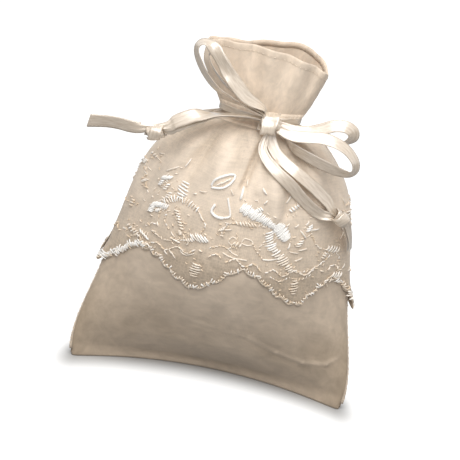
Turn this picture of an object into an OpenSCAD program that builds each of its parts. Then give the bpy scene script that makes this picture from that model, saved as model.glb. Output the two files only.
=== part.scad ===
// Drawstring gift pouch: two sewn cloth panels under a scalloped lace overlay, drawn in at the
// neck by two satin ribbons that are tied in a bow in front. All sizes are in millimetres.
// X runs along the bottom seam, Y from the front to the back and Z up. The origin is the middle
// of the footprint.

/* [Outline, seen from the front] */
// Width across the bottom corners
base_w = 73.6; // [64:0.2:84]
// Height of the widest level, just above the bottom corners
hip_z = 4; // [3:0.5:8]
// Width at the widest level
hip_w = 74.2; // [64:0.2:84]
// Height of the flank, halfway up to the belly
flank_z = 28; // [24:0.5:32]
// Width at the flank
flank_w = 65; // [56:0.2:74]
// Height of the middle of the belly
belly_z = 40; // [34:0.5:46]
// Width of the belly
belly_w = 60.4; // [54:0.2:66]
// Height of the shoulder, where the sides turn in
shoulder_z = 57; // [52:0.5:62]
// Width of the shoulder
shoulder_w = 52.6; // [46:0.2:58]
// How far the crown of gathered cloth lies under the neck
crown_drop = 2.5; // [1.5:0.1:5]
// Width of the crown
crown_w = 31.2; // [26:0.2:36]
// Height of the neck, where the ribbons draw the cloth in
neck_z = 74; // [73.5:0.5:78]
// Inside width of the drawn neck
neck_w = 16.8; // [15:0.2:20]

/* [Depth, seen from the side] */
// Height of the level where the lower panels have opened
foot_z = 12; // [9:0.5:18]
// Depth at that level
foot_d = 19; // [14:0.5:24]
// Depth of the belly
belly_d = 38; // [30:0.5:46]
// Depth of the shoulder
shoulder_d = 33; // [26:0.5:40]
// Depth of the crown
crown_d = 18; // [14:0.5:22]
// Inside depth of the drawn neck
neck_d = 10.8; // [9:0.2:14]
// How far the bottom seam bows to the back between its corners
base_bow = 10; // [0:0.5:14]
// Height at which that bow has died out
bow_z = 40; // [30:1:50]

/* [Cloth] */
// Thickness of a panel, turned edges and all
cloth_t = 0.6; // [0.4:0.05:0.8]
// Waves of the gathers across half a panel
folds = 5; // [3:1:6]
// Depth of the gathers on the shoulder
gather = 1.1; // [0:0.05:1.2]
// Depth of the gathers in the drawn neck
neck_gather = 0.15; // [0:0.05:0.3]
// Seat clearance between sewn pieces
fit_gap = 0.1; // [0.05:0.01:0.15]

/* [Header] */
// Height of the frill from the neck to the mouth
header_h = 19.5; // [14:0.5:26]
// Inside width of the mouth
rim_w = 32; // [24:0.2:36]
// Inside depth of the mouth
rim_d = 9.6; // [8:0.2:16]
// Depth of the gathers at the mouth
rim_gather = 0.8; // [0:0.05:1]
// How far the side corners of the mouth lie below its middle
tip_drop = 3.5; // [0:0.25:5]
// How much lower the right corner of the mouth lies than its middle, and the left one higher
mouth_tilt = 1.5; // [-3:0.25:3]
// How much higher the back edge of the mouth stands
back_rise = -0.2; // [-3:0.1:3]
// How far the back edge rolls up on the right and down on the left
back_roll = 1.8; // [0:0.1:2.5]
// How far the front edge dips on the right
front_dip = 0.4; // [0:0.1:2.5]
// Diameter of the rolled hem
hem_d = 1.4; // [1:0.1:2]

/* [Lace] */
// Thickness of the lace
lace_t = 0.28; // [0.2:0.02:0.4]
// Height of the lowest points of the scallops
scallop_low = 29.8; // [24:0.2:32]
// Height of the notches between the scallops
scallop_high = 37.5; // [33:0.2:39]
// Scallops across a panel
scallops = 3.15; // [2:0.05:6]
// Shift of the scallops to the side, in scallops
scallop_shift = -0.3; // [-0.5:0.01:0.5]
// Diameter of the corded edge
edging_d = 0.9; // [0.6:0.05:1.2]

/* [Seams] */
// Height of the bottom seam
bottom_seam_h = 1.5; // [1:0.1:2.5]
// Thickness of the bottom seam
bottom_seam_t = 3; // [2.4:0.1:4]
// Thickness of the side seams' allowance
side_seam_t = 0.4; // [0.3:0.02:0.5]
// Width of that allowance inside the pouch
side_seam_w = 2.5; // [1.5:0.1:3]
// How far the side seams stand out
side_seam_lip = 0.4; // [0.1:0.05:0.5]

/* [Ribbons] */
// Width of the satin ribbon
ribbon_w = 3.2; // [2.4:0.1:3.6]
// Thickness of the satin ribbon
ribbon_t = 0.35; // [0.2:0.05:0.4]
// Height of the casing round the neck
casing_h = 3.7; // [3.7:0.1:5]
// Thickness of the casing
casing_t = 0.4; // [0.3:0.05:0.6]
// Place of the bow to the side of the middle
bow_x = 3.3; // [-4:0.1:4]
// Diameter of the bow's knot
bow_knot_d = 5.2; // [4:0.1:5.4]
// Height of the bow's knot
bow_knot_h = 6; // [5:0.1:6]
// Diameter of the knots in the two pulls
pull_knot_d = 4.4; // [3.4:0.1:4.8]
// Length of the knots in the two pulls
pull_knot_l = 4.2; // [3.4:0.1:4.4]

/* [Hidden] */

FRONT = -1;
BACK = 1;
LEFT = -1;
RIGHT = 1;

// Colours of the real materials
ORGANZA = [0.86, 0.79, 0.71];
HEADER_CLOTH = [0.89, 0.83, 0.75];
LACE = [0.92, 0.87, 0.80];
LACE_CORD = [0.98, 0.95, 0.92];
SATIN = [0.96, 0.93, 0.89];
SATIN_SHADE = [0.88, 0.83, 0.77];

// Height of the crown
crown_z = neck_z - crown_drop;
// Half the gap that the side seam fills between the two panels
half_gap = side_seam_t / 2 + fit_gap;
// Half the opening between the panels on the bottom seam
base_open = 0.4;
// Level on which the panels stand
panel_z = bottom_seam_h + fit_gap;
// Level on which the header stands, and the top of its casing
header_z = neck_z + fit_gap;
casing_z = neck_z + 2 * fit_gap;
casing_top = casing_z + casing_h;
// Height of the mouth in the middle of the front
rim_z = neck_z + header_h;
// The neck stays straight under the casing and opens a little there
casing_flare = 0.9;

// Half widths and half depths along the height, for the pouch and for its header
POUCH_W = [
    [0, base_w / 2], [hip_z, hip_w / 2], [flank_z, flank_w / 2], [belly_z, belly_w / 2],
    [shoulder_z, shoulder_w / 2], [crown_z, crown_w / 2], [neck_z, neck_w / 2]
];
POUCH_D = [
    [panel_z, base_open], [foot_z, foot_d / 2], [belly_z, belly_d / 2], [shoulder_z, shoulder_d / 2],
    [crown_z, crown_d / 2], [neck_z, neck_d / 2]
];
HEADER_W = [[neck_z, neck_w / 2], [casing_top, neck_w / 2 + casing_flare], [rim_z, rim_w / 2]];
HEADER_D = [[neck_z, neck_d / 2], [casing_top, neck_d / 2], [rim_z, rim_d / 2]];

// Layers on the neck, counted outwards from the inside of the cloth: the right ribbon's run lies on
// the cloth, the left one's on that, then come the casing and the leads to the bow
inner_run = cloth_t + fit_gap;
outer_run = inner_run + ribbon_t + fit_gap;
casing_off = outer_run + ribbon_t + fit_gap;
lead_off = casing_off + casing_t + fit_gap;
lace_off = cloth_t + 4 * fit_gap;
edging_off = lace_off + lace_t + fit_gap + edging_d / 2;
// The ribbons' runs stand in the middle of the casing
run_z = casing_z + (casing_h - ribbon_w) / 2;
// Where the casing ends beside the side seams, as a share of the half panel
casing_end = 0.9;

// Cells across a panel, and the angle that packs them closer towards the seams
CELLS = 30;
PACK_ANGLE = 80;
// Flatness of the panels' curve: 1 is a pointed lens and 0.5 an ellipse
BELLY_CURVE = 0.8;
NECK_CURVE = 0.55;

// Levels of the panel's rows, with the count of steps up to each level
ROW_LEVELS = [
    [hip_z, 1], [foot_z, 2], [belly_z, 4], [shoulder_z, 3], [crown_z, 3], [neck_z, 2]
];
PANEL_ROWS = concat(
    [panel_z],
    [for (i = [0 : len(ROW_LEVELS) - 1])
        let (low = i == 0 ? panel_z : ROW_LEVELS[i - 1][0])
        for (k = [1 : ROW_LEVELS[i][1]]) low + (ROW_LEVELS[i][0] - low) * k / ROW_LEVELS[i][1]]
);
// The lace shares the panel's rows from the belly up, and has a few of its own below
LACE_TOP_ROWS = [for (z = PANEL_ROWS) if (z >= belly_z) z];
LACE_LOW_STEPS = 3;
HEADER_STEPS = 5;

// Soft step from 0 to 1 between two levels
function ease(low, high, z) =
    let (f = max(0, min(1, (z - low) / (high - low)))) f * f * (3 - 2 * f);

// Smooth curve through stations of [level, value], with no overshoot
function rise(s, i) = (s[i + 1][1] - s[i][1]) / (s[i + 1][0] - s[i][0]);
function slope(s, i) =
    i == 0 ? rise(s, 0)
    : i == len(s) - 1 ? rise(s, i - 1)
    : rise(s, i - 1) * rise(s, i) <= 0 ? 0
    : 2 * rise(s, i - 1) * rise(s, i) / (rise(s, i - 1) + rise(s, i));
function along(s, z) =
    let (
        i = max([for (k = [0 : len(s) - 2]) if (k == 0 || z >= s[k][0]) k]),
        h = s[i + 1][0] - s[i][0],
        f = (z - s[i][0]) / h
    )
    s[i][1] * (2 * f ^ 3 - 3 * f ^ 2 + 1) + slope(s, i) * h * (f ^ 3 - 2 * f ^ 2 + f)
    + s[i + 1][1] * (3 * f ^ 2 - 2 * f ^ 3) + slope(s, i + 1) * h * (f ^ 3 - f ^ 2);

function half_w(z) = along(z <= neck_z ? POUCH_W : HEADER_W, z);
function half_d(z) = along(z <= neck_z ? POUCH_D : HEADER_D, z);

// Share of the half width at a place t, which runs from -1 at the left seam to 1 at the right one
function across(t) = sin(PACK_ANGLE * t) / sin(PACK_ANGLE);
function place_of(x, z) = asin(x / half_w(z) * sin(PACK_ANGLE)) / PACK_ANGLE;

// Depth of the gathers at a level. On the shoulder the cloth dips in the middle, under the bow
fold_low = (belly_z + shoulder_z) / 2;
fold_high = (shoulder_z + crown_z) / 2;
function fold_depth(z) =
    z > neck_z ? neck_gather + (rim_gather - neck_gather) * ease(casing_top, rim_z, z)
    : neck_gather * ease(fold_high, neck_z, z)
        - gather * ease(fold_low, fold_high, z) * (1 - ease(fold_high, neck_z, z));
function fold(side, t, z) =
    fold_depth(z) * cos(180 * folds * t + (side == BACK ? 90 : 0)) * (1 - t ^ 4);

// Line that the two panels share, which bows to the back near the floor
function middle_at(u, z) = base_bow * (1 - ease(0, bow_z, z)) * (0.5 - u ^ 2);
function middle_y(t, z) = middle_at(across(t), z);

// Inside of a panel in plan, at place t and level z
function inside(side, t, z) =
    let (
        u = across(t),
        curve = BELLY_CURVE + (NECK_CURVE - BELLY_CURVE) * ease(fold_low, neck_z, z)
    )
    [half_w(z) * u,
     middle_y(t, z) + side * (half_gap + half_d(z) * max(0, 1 - u ^ 2) ^ curve + fold(side, t, z))];

// The same point moved outwards, square to the panel in plan
NUDGE = 0.01;
function on_panel(side, t, z, off) =
    let (
        run = inside(side, min(1, t + NUDGE), z) - inside(side, max(-1, t - NUDGE), z),
        out = -side * [run.y, -run.x] / norm(run),
        p = inside(side, t, z) + off * out
    )
    [p.x, p.y, z];

// Edge of the mouth and edge of the lace
function mouth_z(side, t) =
    rim_z - tip_drop * t ^ 2 - mouth_tilt * t
    + (side == BACK ? (back_rise + back_roll * sin(180 * t)) * (1 - t ^ 2)
        : -front_dip * max(0, sin(180 * t)));
SCALLOP_ROUND = 1.7;
function lace_z(t) =
    let (
        s = (t + 1) / 2 * scallops - scallop_shift,
        f = abs(2 * (s - floor(s)) - 1)
    )
    scallop_low + (scallop_high - scallop_low) * f ^ SCALLOP_ROUND;

// Solid through a row of closed loops. Each loop goes out along one face and back along the other,
// so that strips between the two close the ends
module loft(loops, turned = false) {
    n = len(loops[0]);
    last = len(loops) - 1;
    sides = [
        for (i = [0 : last - 1], k = [0 : n - 1])
            let (a = i * n + k, b = i * n + (k + 1) % n, c = b + n, d = a + n)
            each [[a, b, c], [a, c, d]]
    ];
    ends = [
        for (k = [0 : n / 2 - 2])
            let (e = last * n)
            each [
                [n - 1 - k, n - 2 - k, k + 1], [n - 1 - k, k + 1, k],
                [e + k, e + k + 1, e + n - 2 - k], [e + k, e + n - 2 - k, e + n - 1 - k]
            ]
    ];
    faces = concat(sides, ends);
    polyhedron(
        points = [for (loop = loops) each loop],
        faces = turned ? faces : [for (f = faces) [f[2], f[1], f[0]]],
        convexity = 10
    );
}

// Sheet on one panel between two offsets. levels gives the heights of its rows at a place t
module sheet(side, levels, low, high, from = -1, to = 1, cells = CELLS) {
    loft(
        [for (i = [0 : cells])
            let (t = from + (to - from) * i / cells, zs = levels(t), n = len(zs))
            concat(
                [for (k = [0 : n - 1]) on_panel(side, t, zs[k], low)],
                [for (k = [0 : n - 1]) on_panel(side, t, zs[n - 1 - k], high)]
            )],
        side == BACK
    );
}

// Round cord along a row of points, with its loops square to the run in plan
CORD_SIDES = 6;
module cord(path, d) {
    loft([
        for (i = [0 : len(path) - 1])
            let (
                run = path[min(i + 1, len(path) - 1)] - path[max(i - 1, 0)],
                ahead = run / norm(run),
                beside = cross([0, 0, 1], ahead) / norm(cross([0, 0, 1], ahead)),
                up = cross(ahead, beside)
            )
            [for (k = [0 : CORD_SIDES - 1])
                let (a = 360 * (k + 0.5) / CORD_SIDES)
                path[i] + d / 2 * (cos(a) * beside + sin(a) * up)]
    ]);
}

// The two panels, cut from sheer cloth
module front_panel() { color(ORGANZA) sheet(FRONT, function(t) PANEL_ROWS, 0, cloth_t); }
module back_panel() { color(ORGANZA) sheet(BACK, function(t) PANEL_ROWS, 0, cloth_t); }

// Side seams: the panels' edges, stitched together with the allowance turned inside
function seam_rows(hand) = concat(
    PANEL_ROWS,
    [for (k = [1 : HEADER_STEPS]) header_z + (mouth_z(FRONT, hand) - header_z) * k / HEADER_STEPS]
);
module side_seam(hand) {
    loft(
        [for (z = seam_rows(hand))
            let (
                near = half_w(z) - side_seam_w,
                far = half_w(z) + side_seam_lip,
                near_y = middle_at(near / half_w(z), z),
                far_y = middle_at(far / half_w(z), z),
                h = side_seam_t / 2
            )
            [[hand * near, near_y - h, z], [hand * far, far_y - h, z],
             [hand * far, far_y + h, z], [hand * near, near_y + h, z]]],
        hand == LEFT
    );
}
module left_side_seam() { color(ORGANZA) side_seam(LEFT); }
module right_side_seam() { color(ORGANZA) side_seam(RIGHT); }

// Bottom seam: a bowed strip with a flat foot, on which the pouch stands
module bottom_seam() {
    function edge(side) = [
        for (i = [0 : CELLS])
            let (t = -1 + 2 * i / CELLS, p = inside(side, t, panel_z))
            [p.x, middle_y(t, panel_z) + side * bottom_seam_t / 2]
    ];
    back = edge(BACK);
    color(ORGANZA) linear_extrude(bottom_seam_h)
        polygon(concat(edge(FRONT), [for (i = [0 : CELLS]) back[CELLS - i]]));
}

// Lace overlay with its scalloped lower edge, caught in the side seams and under the casing
function lace_rows(t) =
    concat(
        [for (k = [0 : LACE_LOW_STEPS - 1])
            lace_z(t) + (LACE_TOP_ROWS[0] - lace_z(t)) * k / LACE_LOW_STEPS],
        LACE_TOP_ROWS
    );
module lace(side) { color(LACE) sheet(side, function(t) lace_rows(t), lace_off, lace_off + lace_t); }
module front_lace() { lace(FRONT); }
module back_lace() { lace(BACK); }

// Corded edge worked along the scallops
EDGING_CELLS = 54;
module lace_edging(side) {
    color(LACE_CORD) cord(
        [for (i = [0 : EDGING_CELLS])
            let (t = -1 + 2 * i / EDGING_CELLS)
            on_panel(side, t, lace_z(t) + edging_d / 2, edging_off)],
        edging_d
    );
}
module front_lace_edging() { lace_edging(FRONT); }
module back_lace_edging() { lace_edging(BACK); }

// Header: the frill that the ribbons leave above the neck, with a rolled hem round the mouth
function header_rows(side, t) =
    concat(
        [header_z],
        [for (k = [0 : HEADER_STEPS - 1])
            casing_top + (mouth_z(side, t) - casing_top) * k / (HEADER_STEPS - 1)]
    );
module header(side) { color(HEADER_CLOTH) sheet(side, function(t) header_rows(side, t), 0, cloth_t); }
module front_header() { header(FRONT); }
module back_header() { header(BACK); }

module hem(side) {
    color(HEADER_CLOTH) cord(
        [for (i = [0 : CELLS])
            let (t = -1 + 2 * i / CELLS)
            on_panel(side, t, mouth_z(side, t) + fit_gap + hem_d / 2, cloth_t / 2 + hem_d / 4)],
        hem_d
    );
}
module front_hem() { hem(FRONT); }
module back_hem() { hem(BACK); }

// Casing: the stitched band round the neck, open at the side seams where the ribbons come out
module casing(side) {
    color(HEADER_CLOTH) sheet(
        side, function(t) [casing_z, casing_top], casing_off, casing_off + casing_t,
        -casing_end, casing_end
    );
}
module front_casing() { casing(FRONT); }
module back_casing() { casing(BACK); }

// A ribbon's run through both casings, open at the seam where its ends come out
function run_loop(side, t, low) = [
    on_panel(side, t, run_z, low), on_panel(side, t, run_z + ribbon_w, low),
    on_panel(side, t, run_z + ribbon_w, low + ribbon_t), on_panel(side, t, run_z, low + ribbon_t)
];
RUN_END = 0.97;
module drawstring(hand, low) {
    places = [for (i = [0 : CELLS]) hand * (RUN_END - (RUN_END + 1) * i / CELLS)];
    color(SATIN_SHADE) loft(
        concat(
            [for (t = places) run_loop(FRONT, t, low)],
            [for (i = [0 : CELLS]) run_loop(BACK, places[CELLS - i], low)]
        ),
        hand == RIGHT
    );
}
module left_drawstring() { drawstring(LEFT, outer_run); }
module right_drawstring() { drawstring(RIGHT, inner_run); }

// Leads: the ribbons from the side seams, over the casing, to the back of the bow's knot
LEAD_CELLS = 16;
LEAD_RISE = 0.08;
bow_t = place_of(bow_x, run_z);
module lead(hand) {
    end = bow_t + hand * 2 * fit_gap / half_w(run_z);
    color(SATIN_SHADE) loft(
        [for (i = [0 : LEAD_CELLS])
            let (
                t = hand + (end - hand) * i / LEAD_CELLS,
                start = outer_run + ribbon_t + fit_gap,
                off = start + (lead_off - start) * ease(0, LEAD_RISE, abs(hand - t))
            )
            run_loop(FRONT, t, off)],
        hand == RIGHT
    );
}
module left_lead() { lead(LEFT); }
module right_lead() { lead(RIGHT); }

// Knot of the bow, on the leads in front of the neck. The bow's pieces turn about its upright axis
bow_z_mid = run_z + ribbon_w / 2;
BOW = [
    bow_x,
    on_panel(FRONT, bow_t, bow_z_mid, lead_off + ribbon_t).y - 3 * fit_gap - bow_knot_d / 2,
    bow_z_mid
];
// Rounded barrel, as a tied knot's turns make it
module barrel(d, h) {
    round_r = d / 4;
    rotate_extrude($fn = 48) {
        translate([0, -h / 2]) square([d / 2 - round_r, h]);
        translate([0, round_r - h / 2]) square([d / 2, h - 2 * round_r]);
        for (s = [-1, 1])
            translate([d / 2 - round_r, s * (h / 2 - round_r)]) circle(round_r, $fn = 32);
    }
}
module bow_knot() { color(SATIN) translate(BOW) barrel(bow_knot_d, bow_knot_h); }

// Routes of the free ribbons, measured from the middle of the bow's knot. Each point has the place
// of the ribbon's middle and the direction of its width
LEFT_PULL = [
    [[-3.3, 0, -0.2], [0, 0.5, 0.9]],
    [[-7, -0.2, 0.9], [0, 1, 0.3]],
    [[-12, -0.2, 0.4], [0, 1, 0.4]],
    [[-16.5, -0.2, -0.6], [0, 0.7, 0.7]],
    [[-19.5, -0.2, -2], [0, 0.2, 1]],
    [[-22.5, -0.2, -4], [0, 0.1, 1]],
    [[-24.8, -0.2, -6], [0, 0.1, 1]]
];
LEFT_TAIL = [
    [[-31, -0.2, -7.5], [0, 0.1, 1]],
    [[-35, -0.2, -7.7], [0, 0.1, 1]],
    [[-40, -0.4, -7.6], [0, 0.1, 1]],
    [[-45.7, -0.8, -8.4], [0, 0.1, 1]]
];
LEFT_KNOT = [[-26.2, 0, -7.4], [-30.8, 0, -7.6]];
LEFT_LOOP_OUTER = [
    [[-2.9, -0.4, 2.3], [0, 1, 0.1]],
    [[-6.5, -1, 3.3], [-0.1, 1, 0]],
    [[-11, -1.2, 4.9], [-0.3, 0.9, -0.3]],
    [[-15, -1.2, 6.4], [-0.4, 0.8, -0.4]],
    [[-18.4, -1.2, 9.3], [-0.5, 0.8, -0.3]],
    [[-21, -1.2, 12.9], [-0.5, 0.8, -0.2]],
    [[-22, -1.2, 15.4], [-0.4, 0.9, 0]],
    [[-21.4, -1.3, 17.1], [-0.2, 0.9, 0.2]],
    [[-19.7, -1.6, 17.7], [0.1, 0.9, 0.3]],
    [[-17.4, -2.2, 16.4], [0.4, 0.8, 0.4]],
    [[-15, -2.8, 13.6], [0.6, 0.7, 0.5]],
    [[-11.5, -3.2, 9.7], [0.6, 0.5, 0.6]],
    [[-7.6, -2.8, 6.3], [0.4, 0.8, 0.5]],
    [[-3, -1.2, 4.1], [0, 1, 0.3]]
];
LEFT_LOOP_INNER = [
    [[-2.9, -0.6, 2.9], [0, 1, 0.1]],
    [[-6.5, -1, 4.2], [-0.1, 1, 0]],
    [[-11, -1, 6.5], [-0.3, 0.9, -0.2]],
    [[-14.6, -0.8, 9], [-0.3, 0.9, -0.2]],
    [[-17.4, -0.6, 12], [-0.2, 1, -0.1]],
    [[-18.6, -0.5, 14.3], [-0.1, 1, 0]],
    [[-17.6, -0.4, 15.3], [0.2, 0.9, 0.2]],
    [[-15.8, -0.2, 14], [0.6, 0.5, 0.6]],
    [[-13.2, 0, 11], [0.7, 0.3, 0.6]],
    [[-10, 0.2, 8], [0.6, 0.5, 0.5]],
    [[-6.5, 0.3, 5.5], [0.2, 0.9, 0.3]],
    [[-3, -0.2, 3.7], [0, 1, 0.2]]
];
RIGHT_LOOP_UPPER = [
    [[3, 0.2, -0.2], [0, 0.6, 0.8]],
    [[6, 0, -0.6], [0, 0.6, 0.8]],
    [[9.4, -0.2, -0.1], [0, 0.6, 0.8]],
    [[12.4, -0.4, 1.4], [0, 0.6, 0.8]],
    [[15.6, -0.6, 3.3], [0.1, 0.7, 0.7]],
    [[18.6, -0.5, 4], [0.3, 0.8, 0.5]],
    [[20.8, -0.2, 2.8], [0.6, 0.8, 0.1]],
    [[21.2, 0.4, 0.6], [0.5, 0.8, -0.3]],
    [[19.6, 1.2, -1.2], [0.2, 0.9, -0.4]],
    [[15.8, 1.6, -2.3], [0, 0.9, -0.3]],
    [[11.6, 1.8, -2.8], [0, 1, -0.2]],
    [[6.5, 1.6, -2.6], [0, 1, 0]],
    [[3.1, 1.2, -1.4], [0, 1, 0.3]]
];
RIGHT_LOOP_LOWER = [
    [[2.9, -1, -1], [0, 0.6, 0.8]],
    [[6, -1.8, -1.4], [0, 0.6, 0.8]],
    [[9.6, -2.4, -0.9], [0, 0.6, 0.8]],
    [[13, -2.8, -0.3], [0, 0.6, 0.8]],
    [[16.4, -2.9, -0.6], [0, 0.7, 0.7]],
    [[19.8, -2.7, -2], [0.3, 0.8, 0.5]],
    [[22.4, -2.2, -4.6], [0.4, 0.9, 0.2]],
    [[23.2, -1.7, -7.1], [0.4, 0.9, -0.1]],
    [[21.8, -1.4, -8.7], [0.2, 0.9, -0.4]],
    [[18.2, -1.5, -8.4], [0, 0.8, -0.5]],
    [[12.7, -1.7, -6.8], [0, 0.8, -0.5]],
    [[7.2, -1.2, -4.9], [0, 0.9, -0.3]],
    [[3.2, 0.2, -2.4], [0, 1, 0.1]]
];
RIGHT_PULL_UPPER = [
    [[1.2, -0.8, -4.4], [0.8, 0.3, 0.4]],
    [[2.6, -2.2, -6.3], [0.7, 0.4, 0.5]],
    [[7, -3.5, -9.8], [0.6, 0.4, 0.6]],
    [[11.1, -2.8, -12.4], [0.6, 0.4, 0.7]],
    [[15, -1.2, -15.2], [0.5, 0.4, 0.8]],
    [[17.6, -0.4, -17.2], [0.4, 0.4, 0.8]],
    [[20, -0.2, -19.5], [0.4, 0.4, 0.8]]
];
RIGHT_PULL_LOWER = [
    [[-0.2, -1.8, -4.4], [0.8, 0.3, 0.4]],
    [[0.9, -4.2, -7.7], [0.8, 0.3, 0.4]],
    [[4.7, -5.8, -11.7], [0.7, 0.3, 0.6]],
    [[8.9, -5.3, -14.8], [0.6, 0.3, 0.7]],
    [[13.6, -3.4, -17.9], [0.5, 0.4, 0.8]],
    [[17.2, -1.6, -19.2], [0.4, 0.4, 0.8]],
    [[20.2, -0.9, -19.9], [0.4, 0.4, 0.8]]
];
RIGHT_KNOT = [[20.4, -0.4, -19.8], [23.8, 1.2, -22.2]];
RIGHT_TAIL = [
    [[24, 1.4, -22.6], [0.4, 0.4, 0.8]],
    [[25.2, 2.8, -24.8], [0.5, 0.4, 0.7]],
    [[26.2, 4, -27.6], [0.6, 0.5, 0.5]],
    [[26.8, 5.4, -31], [0.6, 0.6, 0.3]]
];
// The second ribbon of a doubled pull lies behind the first
BEHIND_LEFT_PULL = [0, 0.65, -0.55];
BEHIND_LEFT_TAIL = [0, 0.5, -0.4];
BEHIND_RIGHT_TAIL = [-0.5, 0.3, 0];

// Smooth line through a route's points, in steps, and the same for the width's direction
ROUTE_STEPS = 2;
function through(a, b, c, d, f) =
    0.5 * (2 * b + (c - a) * f + (2 * a - 5 * b + 4 * c - d) * f ^ 2 + (3 * b - a - 3 * c + d) * f ^ 3);
function traced(route, part) =
    let (n = len(route) - 1)
    [for (i = [0 : n * ROUTE_STEPS])
        let (
            k = min(floor(i / ROUTE_STEPS), n - 1),
            f = i / ROUTE_STEPS - k
        )
        through(
            route[max(k - 1, 0)][part], route[k][part], route[k + 1][part], route[min(k + 2, n)][part], f
        )];

// Flat ribbon along a route, from the bow's knot
module ribbon(route, shift = [0, 0, 0]) {
    path = traced(route, 0);
    widths = traced(route, 1);
    n = len(path) - 1;
    color(SATIN) translate(BOW + shift) loft([
        for (i = [0 : n])
            let (
                run = path[min(i + 1, n)] - path[max(i - 1, 0)],
                ahead = run / norm(run),
                flat = widths[i] - (widths[i] * ahead) * ahead,
                w = ribbon_w / 2 * flat / norm(flat),
                h = ribbon_t / 2 * cross(ahead, w) / norm(w)
            )
            [path[i] - w - h, path[i] + w - h, path[i] + w + h, path[i] - w + h]
    ]);
}

// Overhand knot that holds a pull's two ribbons together
module pull_knot(ends) {
    run = ends[1] - ends[0];
    middle = (ends[0] + ends[1]) / 2;
    color(SATIN) translate(BOW + middle)
        rotate([0, acos(run.z / norm(run)), atan2(run.y, run.x)])
            barrel(pull_knot_d, pull_knot_l);
}

module left_pull_front() { ribbon(LEFT_PULL); }
module left_pull_back() { ribbon(LEFT_PULL, BEHIND_LEFT_PULL); }
module left_pull_knot() { pull_knot(LEFT_KNOT); }
module left_tail_front() { ribbon(LEFT_TAIL); }
module left_tail_back() { ribbon(LEFT_TAIL, BEHIND_LEFT_TAIL); }
module left_loop_outer() { ribbon(LEFT_LOOP_OUTER); }
module left_loop_inner() { ribbon(LEFT_LOOP_INNER); }
module right_loop_upper() { ribbon(RIGHT_LOOP_UPPER); }
module right_loop_lower() { ribbon(RIGHT_LOOP_LOWER); }
module right_pull_upper() { ribbon(RIGHT_PULL_UPPER); }
module right_pull_lower() { ribbon(RIGHT_PULL_LOWER); }
module right_pull_knot() { pull_knot(RIGHT_KNOT); }
module right_tail_front() { ribbon(RIGHT_TAIL); }
module right_tail_back() { ribbon(RIGHT_TAIL, BEHIND_RIGHT_TAIL); }

front_panel();
back_panel();
left_side_seam();
right_side_seam();
bottom_seam();
front_lace();
back_lace();
front_lace_edging();
back_lace_edging();
front_header();
back_header();
front_hem();
back_hem();
front_casing();
back_casing();
left_drawstring();
right_drawstring();
left_lead();
right_lead();
bow_knot();
left_pull_front();
left_pull_back();
left_pull_knot();
left_tail_front();
left_tail_back();
left_loop_outer();
left_loop_inner();
right_loop_upper();
right_loop_lower();
right_pull_upper();
right_pull_lower();
right_pull_knot();
right_tail_front();
right_tail_back();
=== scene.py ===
import math
import random

import bpy
from mathutils import Matrix, Vector, noise


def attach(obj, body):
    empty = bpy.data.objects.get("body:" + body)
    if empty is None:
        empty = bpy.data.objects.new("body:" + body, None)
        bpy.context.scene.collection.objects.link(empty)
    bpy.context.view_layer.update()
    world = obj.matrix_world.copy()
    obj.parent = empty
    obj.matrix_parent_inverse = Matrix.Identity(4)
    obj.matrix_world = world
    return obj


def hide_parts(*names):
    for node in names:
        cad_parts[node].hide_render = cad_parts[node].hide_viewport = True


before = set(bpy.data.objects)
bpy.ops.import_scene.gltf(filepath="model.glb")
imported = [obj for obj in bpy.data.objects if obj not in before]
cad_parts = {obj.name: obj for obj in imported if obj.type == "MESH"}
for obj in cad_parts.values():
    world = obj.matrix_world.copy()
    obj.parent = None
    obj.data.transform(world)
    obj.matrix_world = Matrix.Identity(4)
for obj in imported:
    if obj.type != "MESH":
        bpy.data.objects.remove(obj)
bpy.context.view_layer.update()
bpy.ops.object.select_all(action="DESELECT")


# Studio
# A white table top under a broad overhead soft box and a small front card, with pale walls all
# round. The camera looks down on the front at 20 degrees and leans a little to one side.

def paint(red, green, blue):
    """A colour from its screen values 0 to 255, as the shaders want it."""
    linear = []
    for value in (red, green, blue):
        part = value / 255
        linear.append(part / 12.92 if part <= 0.04045 else ((part + 0.055) / 1.055) ** 2.4)
    return (linear[0], linear[1], linear[2], 1.0)


bpy.ops.object.camera_add()
camera = bpy.context.object
camera.name = "photo_camera"
camera_right = Vector((0.979575, 0.068773, 0.188951))
camera_up = Vector((-0.201078, 0.335034, 0.920500))
camera_back = camera_right.cross(camera_up)
camera_place = Vector((-0.001587, -0.41372, 0.19275))
camera_turn = Matrix((camera_right, camera_up, camera_back)).transposed().to_4x4()
camera.matrix_world = Matrix.Translation(camera_place) @ camera_turn
camera.data.sensor_width = 36
camera.data.lens = 130.3
camera.data.clip_start = 0.01
bpy.context.scene.camera = camera
bpy.context.scene.view_settings.view_transform = "Standard"


def wire(tree, node, sockets):
    """Sets a node's sockets, by name or place, to values or to other nodes' outputs."""
    for key, value in sockets.items():
        if isinstance(value, bpy.types.NodeSocket):
            tree.links.new(value, node.inputs[key])
        else:
            node.inputs[key].default_value = value


def add_node(tree, kind, sockets=None, **settings):
    """A new shader node with its own settings and its sockets wired."""
    node = tree.nodes.new("ShaderNode" + kind)
    for key, value in settings.items():
        setattr(node, key, value)
    wire(tree, node, sockets or {})
    return node


def math_of(tree, operation, *terms):
    """One step of arithmetic on values and outputs, as an output."""
    return add_node(tree, "Math", dict(enumerate(terms)), operation=operation).outputs[0]


def range_of(tree, value, start, end, low=0.0, high=1.0, **settings):
    """A value that runs from start to end, as an output that runs from low to high."""
    sockets = {"Value": value, "From Min": start, "From Max": end, "To Min": low, "To Max": high}
    return add_node(tree, "MapRange", sockets, **settings).outputs[0]


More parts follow.
